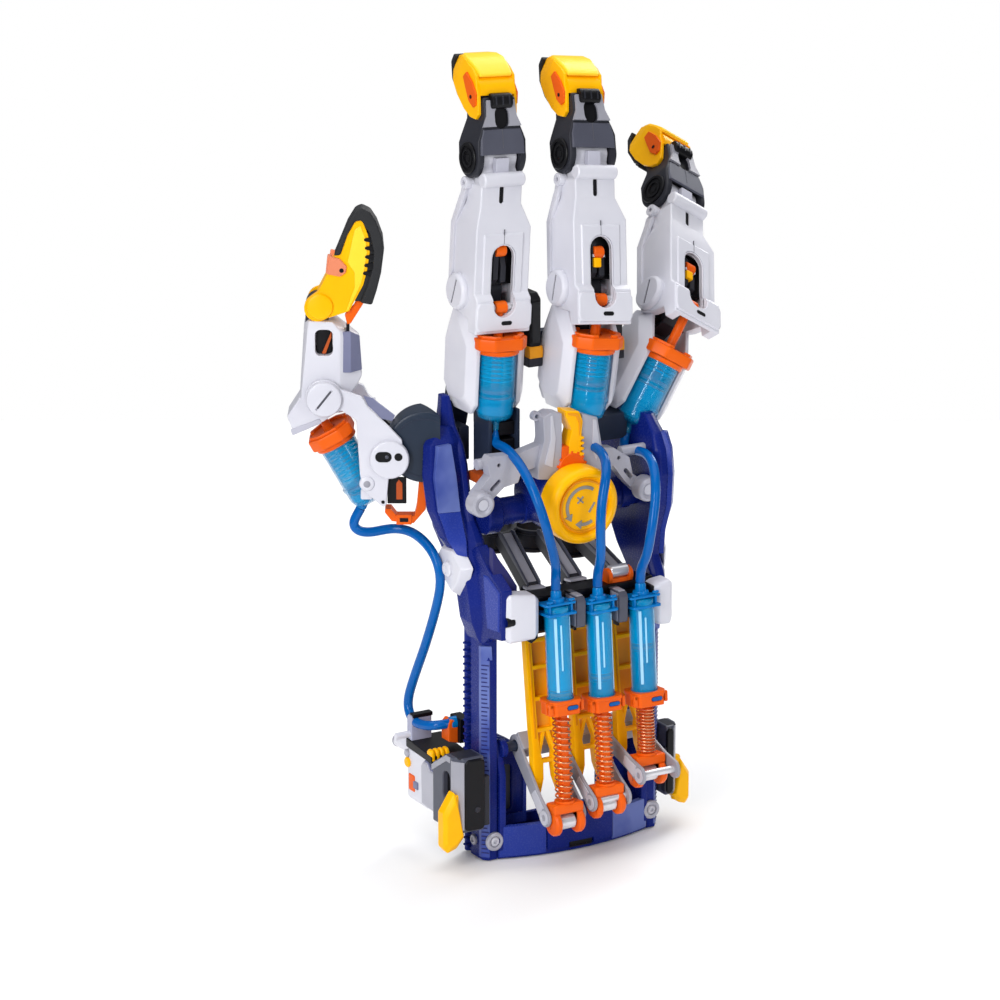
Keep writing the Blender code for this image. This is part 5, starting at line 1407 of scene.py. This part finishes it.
# --- knuckle bar ---


def knuckle_bar():
    y0, y1 = 12.3, 18.0
    left = corners(-34, -24, y0, y1, 222, 234)
    middle = corners(10, 18, y0, y1, 221, 232)
    right = corners(52, 60, y0, y1, 206, 219)
    parts = Parts()
    for points in (left + middle, middle + right, left + corners(-39.7, -31, 12.6, y1, 186, 200),
            corners(-39.7, -34, 2, y1, 180, 196), corners(42, 48, y0, y1, 207, 216) + corners(42, 48, 12.6, 16,
            192.4, 195)):
        parts.add(NAVY, hull(points), 0.9)
    inset = hull(corners(-22, -14, y1 - 0.6, y1 + 0.5, 224, 230.6) + corners(2, 6, y1 - 0.6, y1 + 0.5, 223.6,
        230))
    parts.add(BLUE, inset, 0.3)
    for x0, x1, z0, z1 in ((-8.6, -2.5, 224, 256), (33.4, 40.6, 222, 243)):
        block = layers("Z", (rounded(x0, x1, -8, 18, 1.2), z0), (rounded(x0, x1, -8, 18, 1.2), z1 - 3),
            (rounded(x0 + 0.9, x1 - 0.9, -6, 16, 1.0), z1))
        parts.add(BLACK, block, 0.6, 3)
        face = prism(rounded(x0 + 0.9, x1 - 0.9, z0 + 9, z1 - 4.2, 0.8), "Y", -8.7, -7.6)
        parts.add(RUBBER, face, 0.35)
        # ledge under the block in painted shade
        ledge = prism([(-8.9, z0 + 2), (-8.9, z0 + 6), (-8.2, z0 + 7.4), (-4, z0 + 7.4), (-4, z0 + 2)], "X",
            x0 - 0.5, x1 + 0.4)
        parts.add(YELLOW_SHADE, ledge, 0.4)
        parts.add(GREY, box(x0 - 0.7, x1 + 0.7, -8.2, 10, z0 - 2.2, z0 + 2.4), 0.6)
    for name in FINGERS:
        knuckle = Vector(JOINTS[f"{name}_splay"]["pos_m"]) / MM
        ring = turned([(0, 12.3), (6.5, 12.3), (6.7, 13), (6.7, 17.2), (6.2, 18), (4.6, 18), (4.3, 17.5),
            (0, 17.5)], 40, "Y")
        parts.add(NAVY, moved(ring, x=knuckle.x, y=knuckle.y, z=knuckle.z))
        pin = turned([(0, 7.2), (4.4, 7.2), (4.4, 8.7), (2.6, 8.7), (2.6, 12.6), (0, 12.6)], 28, "Y")
        parts.add(SILVER, moved(pin, x=knuckle.x, y=knuckle.y, z=knuckle.z))
    cover("knuckle_bar", "frame", HERE, parts, "navy_plastic")


knuckle_bar()

# --- thumb ---
# Everything here stands in the thumb's own plane: X to the right, Z up, Y towards the palm.

SWING = (-19.3, 185.6)
BEND = (-48.2, 213.6)
TIP = (-50.8, 254.3)


def slotted_cap(centre, y0, y1, r, angle=None):
    """Round cap with a bevelled rim and, where an angle is given, a screwdriver slot."""
    low, high = sorted((y0, y1))
    outer = y0 if abs(y0) > abs(y1) else y1
    step = 0.9 if outer > 0 else -0.9
    if outer == low:
        profile = [(0, low), (r - 1.3, low), (r - 0.4, low - step * 0.4), (r, low - step * 1.2), (r, high),
            (0, high)]
    else:
        profile = [(0, low), (r, low), (r, high - step * 1.2), (r - 0.4, high - step * 0.4), (r - 1.3, high),
            (0, high)]
    cap = turned(profile, 44, "Y")
    if angle is not None:
        cut(cap, moved(box(-0.5, 0.5, outer - 0.8, outer + 0.8, -r * 0.72, r * 0.72), ry=angle))
    return moved(cap, x=centre[0], z=centre[1])


def away_box():
    """What lies beyond the side frame's outer face, in the thumb's plane."""
    return moved(box(-1.3, 60, -80, 80, 140, 230), rz=30)


def drum():
    rings = even([(0, -8.6), (15.2, -8.6), (16.2, -8), (16.5, -7)])
    body = moved(turned(rings, 64, "Y"), x=-4, z=190)
    cut(body, away_box())
    parts = Parts()
    parts.add(NAVY_GREY, body)
    line = cut(moved(turned([(13.2, -8.75), (13.6, -8.75), (13.6, -8), (13.2, -8)], 64, "Y"), x=-4, z=190),
        away_box())
    parts.add(NAVY, line)
    arm = prism([(-19.3, 179.6), (-10, 176.4), (-4, 176), (-4, 204), (-12, 203), (-19.3, 191.6), (-24.4, 188.6),
        (-25.3, 185.6), (-24.4, 182.6)], "Y", -7.8, 7.8)
    parts.add(NAVY_GREY, cut(arm, disc("Y", SWING, 2.9, -20, 20)), 0.8)
    strut = [(-21.6, 160.2), (-18.9, 160.2), (-16.4, 156.8), (-8.4, 156.8), (-7.4, 161.4), (-6.2, 174),
        (-3, 174), (-3.2, 159.8), (-8.8, 153.2), (-18.6, 154.2), (-21.8, 158.4)]
    parts.add(ORANGE, cut(prism(strut, "Y", -4.0, 3.6), away_box()), 0.5)
    parts.add(ORANGE, box(-16.6, -9.6, -4.6, -1.4, 152.8, 157.4), 0.35)
    parts.add(BLACK, box(-15, -11.2, -4.8, -4.4, 154.2, 156))
    parts.add(BLACK, box(-20.4, -11.8, -8.9, -7.8, 164, 176.4), 0.4)
    # orange under the black bar in painted shade
    parts.add(ORANGE_SHADE, prism([(-16.4, 166), (-13.6, 166), (-13.6, 173.6), (-15.2, 175.4), (-16.4, 173.6)],
        "Y", -9.15, -8.6), 0.3)
    cover("thumb_drum", "frame", THUMB_AT, parts, "navy_plastic")


def thumb_bracket():
    outline = [(-40.6, 208), *arc(BEND, 8.6, 262, 30, 14), (-31.4, 214.4), (-28.9, 209.8), (-19.4, 200.6),
        (-13.6, 194.4), (-12.6, 180), (-19.6, 177.6), (-20.8, 163.8), (-22.4, 163), (-31.2, 171),
        (-32.6, 178.4), (-34, 203.6)]
    parts = Parts()
    near = prism([(-30.8, 215), (-28.6, 210.2), (-22.6, 204.2), (-17.8, 203.2), (-16.6, 205.8), (-26.6, 213.8)],
        "Y", -11.5, -10.5)
    far = prism([(-30, 208), (-26, 208), (-26, 204)], "Y", 11, 12)
    for y0, y1, shade, look in ((-11.7, -9.2, near, LAVENDER), (9.2, 11.7, far, WHITE)):
        plate = cut(prism(outline, "Y", y0, y1), disc("Y", BEND, 2.8, -20, 20))
        parts.add(WHITE, plate, 0.7)
        parts.add(look, shade, 0.3)
    parts.add(WHITE, box(-30, -25, -9.6, 9.6, 196, 205), 0.6)
    parts.add(WHITE, box(-32.4, -27.2, -9.6, 9.6, 166, 171), 0.7)
    parts.add(WHITE, slotted_cap(SWING, -13.9, -11.2, 8.9))
    parts.add(WHITE, slotted_cap(SWING, 13.4, 11.2, 8.8, 30))
    for mark in (obround((-21.9, 187.2), 7.4, 4.8), arc((-15.2, 187.2), 1.8, 0, 345, 23)):
        parts.add(BLACK, prism(mark, "Y", -14.06, -13.2))
    parts.add(GREY_SHADE, slotted_cap((-20.4, 187.2), -14.5, -13.6, 1.2))
    for side in (-1, 1):
        parts.add(WHITE, slotted_cap((-29.4, 174.2), 12.8 * side, 11.4 * side, 3.5))
        parts.add(PALE, slotted_cap((-29.4, 174.2), 13.3 * side, 12 * side, 1.9))
    parts.add(BLACK, prism(arc((-22.3, 165.6), 0.8, 0, 345, 15), "Y", -11.95, -11.4))
    parts.add(BLACK, prism([(-24.2, 203.4), (-20.2, 199.6), (-18.8, 201), (-22.8, 205)], "Y", -8.6, -4))
    pin = rod(2.6, -11.5, 11.5, 24, "Y")
    parts.add(SILVER, moved(pin, x=SWING[0], z=SWING[1]))
    cover("thumb_bracket", "thumb_bracket", THUMB_AT, parts, "white_plastic")


def thumb_phalanx():
    wide = [(-57, 247), (-59.5, 212), (-52, 204), (-40, 205), (-31.6, 221.8), (-33, 240.5), (-41, 246.5)]
    near = [(-54.8, 248.6), (-58.6, 212.5), (-52, 204.8), (-42, 206.4), (-41.2, 222), (-40.8, 243.6),
        (-44.6, 248.2)]
    cavity = [(-59.3, 190), (-40, 196), (-43.5, 207.6), (-54, 209.5), (-58.6, 206.5)]
    window = rounded(-52, -44.2, 232.6, 244.4, 2.4)
    upper = layers("Y", (near, -8.8), (wide, -2.4), (wide, 2.4), (near, 8.8))
    cut(upper, prism(cavity, "Y", -7.5, 7.5), prism(window, "Y", -20, 20))
    boot = [(-59.5, 213), (-65, 204.5), (-62, 196.2), (-48.7, 202.1), (-41, 208), (-44, 214)]
    boot = cut(prism(boot, "Y", -8.7, 8.7), prism(cavity, "Y", -7.5, 7.5))
    parts = Parts()
    parts.add(WHITE, upper, 0.6)
    parts.add(WHITE, boot, 1.0)
    # sole, white in painted shade
    sole = prism([(-63.6, 198.6), (-62.6, 195.8), (-49.4, 201.6), (-50.4, 203.6)], "Y", -9.2, -8.2)
    parts.add(WHITE_SHADE, sole, 0.4)
    parts.add(BLACK, box(-51.6, -44.8, -6, 6, 233.2, 243.8), 0.5)
    # orange strip in the window in painted shade
    strip = prism([(-49.2, 233.2), (-47.4, 233.2), (-44.8, 240.4), (-44.8, 243.4)], "Y", -7.4, -5.4)
    parts.add(ORANGE_SHADE, strip, 0.3)
    shade = layers("Y", ([(-40.4, 224.6), (-40.2, 243.2), (-36.2, 243.6), (-36.2, 224.6)], -7.9),
        ([(-40.9, 224.6), (-40.6, 243.4), (-32.4, 240.4), (-31.4, 224.6)], -2.2))
    parts.add(LAVENDER, shade, 0.25)
    parts.add(GREY, box(-56.4, -46, -5, 5, 244, 254), 0.8)
    parts.add(GREY, slotted_cap(TIP, -5, 5, 5.6))
    parts.add(BLACK, box(-38.2, -36.8, -7, -3.6, 238, 246.6))
    for side, slot_turn in ((-1, 38), (1, None)):
        parts.add(WHITE, slotted_cap(BEND, 14.4 * side, 12 * side, 8.0, slot_turn))
    parts.add(SEAM, prism(obround((BEND[0], 213.6), 0.9, 10), "Y", -13.9, -13.5))
    parts[-1][0].data.transform(Matrix.Translation((BEND[0], 0, BEND[1])) @ Matrix.Rotation(math.radians(38), 4,
        "Y") @ Matrix.Translation((-BEND[0], 0, -BEND[1])))
    pin = rod(2.5, -12.4, 12.4, 24, "Y")
    parts.add(WHITE, moved(pin, x=BEND[0], z=BEND[1]))
    cover("thumb_phalanx", "thumb_phalanx", THUMB_AT, parts, "white_plastic")


def thumb_tip():
    """Yellow tip in a thick rubber band, with clips and caps on both sides and a small hook below."""
    yellow = [(-33.8, 295), (-30.4, 294), (-27.6, 286), (-27.4, 279.8), (-28.6, 271.8), (-30.4, 265),
        (-36.8, 253), (-44.6, 250.4), (-46, 250), *arc(TIP, 6.0, 300, 120, 10), (-50.4, 262), (-46.8, 269),
        (-43.4, 277), (-38, 287)]
    slot = [(-60, 240), (-37, 240), (-37, 249.6), (-42.5, 251.5), (-42.5, 257), (-47, 261.5), (-60, 261.5)]
    body = cut(prism(yellow, "Y", -8.7, 4.6), prism(slot, "Y", -5.3, 5.3))
    parts = Parts()
    parts.add(YELLOW, body, 1.6, 3)
    # facet in painted highlight
    facet = [(-38.2, 252.9), (-34.2, 264), (-34.2, 270.8), (-37.2, 275.4), (-34, 290), (-31.4, 292),
        (-29, 285.6), (-28.6, 279.6), (-29.8, 272), (-31.4, 265.4), (-37.2, 253.4)]
    parts.add(YELLOW_HIGHLIGHT, prism(facet, "Y", -9.1, -8.2), 0.3)
    band = [(-43.4, 278.4), (-41.8, 282.2), (-37.2, 293.4), (-33.8, 299), (-31, 300.2), (-27.2, 298.4),
        (-24.4, 294), (-21.8, 286.8), (-21.2, 280), (-22.4, 270.8), (-24.4, 262.8), (-26.6, 256), (-31.8, 257),
        (-28.6, 265), (-26.2, 273), (-25.7, 280), (-27.4, 288.4), (-31, 294.4), (-33.8, 293.8), (-37.2, 287.6),
        (-40.4, 278.6)]
    parts.add(RUBBER, prism(band, "Y", -9.8, 0.0), 0.9, 3)
    web = [(-31.6, 257.4), (-28.2, 265), (-25.8, 273), (-25.3, 280), (-27.4, 288), (-29.4, 290), (-29.2, 280),
        (-30.4, 272), (-32.4, 265), (-35.4, 257.6)]
    parts.add(RUBBER, prism(web, "Y", -8.2, -0.8), 0.3)
    for z in (269.8, 273.4, 277.2, 281.2, 285):
        x = -28.0 - 0.012 * (z - 279) ** 2
        parts.add(BLACK, prism([(x - 1.6, z + 0.6), (x - 1.2, z), (x + 2.6, z - 0.9), (x + 2.6, z + 1.9),
            (x - 1.2, z + 1.3)], "Y", -9.5, -1.2), 0.25)
    clip = [(-46.6, 270.2), (-45.2, 278.2), (-40.8, 277.2), (-37.6, 273.6), (-38.2, 270.6), (-40.8, 269)]
    for y0, y1, hole in ((-10, -8.4, -10.12), (4.2, 5.8, 4.9)):
        parts.add(SALMON, prism(clip, "Y", y0, y1), 0.5)
        parts.add(BLACK, prism(arc((-39.9, 271.9), 1.0, 0, 345, 19), "Y", hole, hole + 1.1))
    parts.add(SALMON, prism([(-46.2, 278.2), (-44.2, 278), (-45.2, 270.2), (-47, 270.6)], "Y", -9.4, -4), 0.4)
    for y0, y1 in ((-10.4, -8.2), (8.4, 5.4)):
        parts.add(YELLOW, slotted_cap((TIP[0] + 1.0, TIP[1] + 0.8), y0, y1, 6.0))
    hook = [(-30.2, 256.4), (-36.2, 246.8), (-37.8, 246.4), (-38.8, 250.8), (-34.6, 255.4), (-33.6, 257.6)]
    parts.add(ORANGE, prism(hook, "Y", -6.6, -3.4), 0.4)
    pin = rod(2.0, -6, 6, 24, "Y")
    parts.add(YELLOW, moved(pin, x=TIP[0], z=TIP[1]))
    cover("thumb_tip", "thumb_tip", THUMB_AT, parts, "yellow_plastic")


drum()
thumb_bracket()
thumb_phalanx()
thumb_tip()
barrel_at = THUMB_AT @ place_at(-29.8, 0, 166.6, ry=-29.4)
cylinder_at = barrel_at @ place_at(z=53.4, rz=90)
cover("thumb_output_cylinder", "thumb_bracket", cylinder_at, cylinder_parts(-3.9, False), "blue_clear_plastic")
elbow = moved(turned([(0.9, -9), (2.1, -9), (2.4, -8.4), (2.4, -2.2), (3.4, -2), (3.4, 0.4), (0.9, 0.4)], 32),
    x=1.0, z=1.0, ry=50)
assemble("thumb_elbow_look", "thumb_bracket", barrel_at, [(elbow, HOSE_LIGHT)])
cover("thumb_output_rod", "thumb_output_rod", cylinder_at, rod_parts(-3.9), "orange_plastic")

# --- slider clamps, wing levers and the thumb's input ---


def slider_clamp(side, inner, outer, z0, z1):
    """Sliding block: black front, slate sides with bevels, a slot for the lever and feet on the rail."""
    left = side < 0
    name = "slider_clamp_left" if left else "slider_clamp_right"
    plan = [(inner, -38), (outer - 3.6, -38), (outer, -33.4), (outer, -15), (outer - 2.6, -12), (inner, -12)]
    profile = [(-38, z0 + 1), (-38, z1 - 1), (-37, z1), (-27.4, z1), (-12, z1 - 9.4), (-12, z0 + 1.6),
        (-14, z0), (-37, z0)]
    shell = common(prism(plan, "Z", z0 - 5, z1 + 5), prism(profile, "X", 40, 80))
    slot_at = obround((-27.6, z0 + 20.5), 6.4, 14) if left else obround((-24, z0 + 20), 4.4, 12)
    cut(shell, prism(slot_at, "X", outer - 3, outer + 5))
    parts = Parts()
    parts.add(SLATE, shell, 0.9, 3)
    parts.add(BLACK, prism(slot_at, "X", outer - 3.2, outer - 2.4))
    front = layers("Y", (rounded(inner + 0.2, outer - 4.2, z0 + 1.4, z1 - 1.4, 2.0), -39.0),
        (rounded(inner - 0.2, outer - 3.4, z0 + 0.6, z1 - 0.6, 2.4), -37.2))
    parts.add(BLACK, front, 0.5)
    # chamfer facet in pale grey: painted sheen
    facet = prism([(outer - 3.3, -38.2), (outer + 0.12, -33.7), (outer + 0.12, -31.8), (outer - 0.6, -31.8),
        (outer - 4.0, -37.6)], "Z", z0 + 1.6, z1 - 1.8)
    parts.add(PALE, facet, 0.3)
    bevel = prism([(-36.6, z1 - 0.6), (-36.6, z1 + 0.1), (-27.3, z1 + 0.1), (-12.4, z1 - 9.0),
        (-12.4, z1 - 10.4), (-27.8, z1 - 1)], "X", inner + 1.4, outer - 1.6)
    parts.add(GREY, bevel, 0.25)
    # top rim in pale grey: painted sheen
    rim = prism([(-31.4, z1 - 0.6), (-27.3, z1 - 0.6), (-14, z1 - 9.0), (-14, z1 - 12), (-27.6, z1 - 3.4),
        (-31.4, z1 - 3.4)], "X", outer - 1, outer + 0.25)
    parts.add(PALE, rim, 0.25)
    for y0, y1 in ((-16, -12), (-38, -34.6)):
        parts.add(GREY, box(46.6, inner + 1, y0, y1, z0 + 2, z1 - 10), 0.6)
    button = turned([(0, -39.4), (1.2, -39.4), (1.4, -39.1), (1.4, -38.4), (0, -38.4)], 20, "Y")
    parts.add(GREY, moved(button, x=inner + 4, z=z0 + 11))
    if left:
        for ob, _ in parts:
            mirrored(ob)
    cover(name, "slider_left" if left else "slider_right", HERE, parts, "grey_plastic")


slider_clamp(-1, 49.6, 63.4, 17.5, 53.4)
slider_clamp(1, 47.4, 55, 16, 50)


def wing_lever(side, at):
    outline = [(0.4, 12), (1.6, 13.6), (7.4, 4.6), (7.4, -12), (5, -15), (0.4, -13.4), (-3.6, -8.6), (-2, -2)]
    if side > 0:
        outline = [(x * 0.8, z * 0.8) for x, z in outline]
    wing = layers("Y", (scaled(outline, 0.74), -4.0), (outline, -2.2), (outline, 2.4),
        (scaled(outline, 0.9), 3.2))
    parts = Parts()
    parts.add(YELLOW, wing, 0.45)
    stem = turned([(0, -9.5), (1.8, -9.5), (2.1, -9), (2.1, 11.4), (1.8, 12), (0, 12)], 24)
    parts.add(YELLOW, stem)
    # darker strip along the stem in painted shade
    parts.add(YELLOW_SHADE, box(-1.6, 1.2, -1.8, 1.8, -8, 11), 0.4)
    if side < 0:
        for ob, _ in parts:
            mirrored(ob)
    word = "left" if side < 0 else "right"
    assemble(f"wing_{word}_look", f"wing_{word}", at, parts, [f"wing_lever_{word}"])


wing_lever(-1, place_at(-62.6, -34, 24))
wing_lever(1, place_at(57.6, -30, 20))


def thumb_input():
    """Pale housing with yellow ribs on top, an orange block, a pale pin and the tube's nozzle."""
    shell = layers("X", (rounded(-6.4, 12.6, 20, 43.6, 2.4), -61.4), (rounded(-7.6, 14, 18.4, 45, 2.6), -59),
        (rounded(-7.6, 14, 18.4, 45, 2.6), -50))
    parts = Parts()
    parts.add(WHITE, shell, 0.8)
    # black deck with four ribs, a wall behind it in painted shade, an orange block and the tube's nozzle
    parts.add(BLACK, prism([(-10.6, 42.6), (-10.6, 46.2), (13.6, 48.4), (13.6, 44)], "X", -61.6, -43), 0.5)
    for i in range(4):
        x = -60.4 + 2.5 * i
        rib = [(-10.8, 43.6), (-10.6, 47.2), (-9.6, 48.8), (-6.8, 49), (-5.6, 47.6), (-5.4, 44)]
        parts.add(YELLOW, prism(rib, "X", x - 1.0, x + 1.0), 0.7, 3)
    wall = prism([(13.6, 44), (13.6, 58.4), (12.6, 59.8), (9.6, 59.8), (9, 58.4), (9, 44)], "X", -61, -50.4)
    parts.add(LAVENDER_SIDE_SHADE, wall, 0.5)
    parts.add(BLACK, box(-60.4, -50, 8.6, 12.2, 58.6, 60.6), 0.4)
    wedge = [(-51.4, 51), (-51.4, 59.4), (-49.4, 61.6), (-46.8, 60.2), (-44.4, 56), (-44.4, 49)]
    parts.add(ORANGE, prism(wedge, "Y", -8.6, -1.4), 0.7)
    parts.add(BLACK, box(-46.8, -41, -11, -1, 50, 62), 0.8)
    pin = turned([(0, -68.4), (1.2, -68.4), (1.6, -67.8), (1.6, -60), (0, -60)], 28, "X")
    parts.add(WHITE, moved(pin, y=11.2, z=50.6))
    nozzle = turned([(0, -49.6), (2.7, -49.6), (3, -49), (3, -46), (0, -46)], 28, "X")
    parts.add(HOSE_LIGHT, moved(nozzle, y=-6, z=59))
    for y, z, r, look in ((11.6, 37.0, 2.4, YELLOW), (12.2, 41.2, 1.9, SILVER)):
        screw = turned([(0, -62.6), (r - 0.6, -62.6), (r, -62.1), (r, -60.4), (0, -60.4)], 24, "X")
        parts.add(look, moved(screw, y=y, z=z))
    parts.add(ORANGE, box(-61.9, -58, 5.4, 11, 24, 32), 0.6)
    parts.add(LAVENDER, box(-62.1, -58.2, 2.2, 6.4, 26, 29.6), 0.5)
    # silver shoulder with a scooped top between the housing and the clamp
    shoulder = [(-2.4, 21.4), (-2, 40), (-4, 42.4), (-7.4, 42.2), (-9.4, 39.6), (-12.6, 39.4), (-15, 41.4),
        (-20.8, 44), (-22, 42), (-22, 25), (-16.2, 20.4)]
    parts.add(SILVER, prism(shoulder, "X", -62.6, -50.6), 0.9, 3)
    top = [(-3.8, 42), (-4.6, 43), (-7.6, 42.8), (-10, 40.2), (-12.6, 40), (-12.8, 39), (-9.6, 39),
        (-7.2, 41.6)]
    parts.add(LAVENDER, prism(top, "X", -61.8, -51.4), 0.25)
    assemble("thumb_input_look", "slider_left", HERE, parts, ["thumb_input_housing"])


thumb_input()
plunger = turned([(0, -11), (2.6, -11), (3, -10.4), (3, 13.6), (3, 14), (3.1, 14.6), (3.1, 16.4), (2.7, 17),
    (0, 17)], 36, "Y")
grip = turned([(3, 14.9), (3.3, 15.1), (3.3, 15.9), (3, 16.1)], 36, "Y")
assemble("thumb_plunger_look", "plunger", place_at(-56, 15, 41), [(plunger, WHITE), (grip, PALE)],
    ["thumb_input_plunger"])


# --- floor ---

floor_mesh = bmesh.new()
bmesh.ops.create_grid(floor_mesh, x_segments=8, y_segments=8, size=0.7)
floor_data = bpy.data.meshes.new("floor")
floor_mesh.to_mesh(floor_data)
floor_mesh.free()
floor = bpy.data.objects.new("floor", floor_data)
bpy.context.collection.objects.link(floor)
floor.location = (0, 0, -0.0005)
floor.rotation_euler = (0, 0, math.radians(-30))
floor.data.materials.append(plastic("pale_floor", (0.93, 0.93, 0.93), (0.91, 0.91, 0.91), 0.6, patch=0.5,
    grain=40, bump=0.0, specular=0.0))
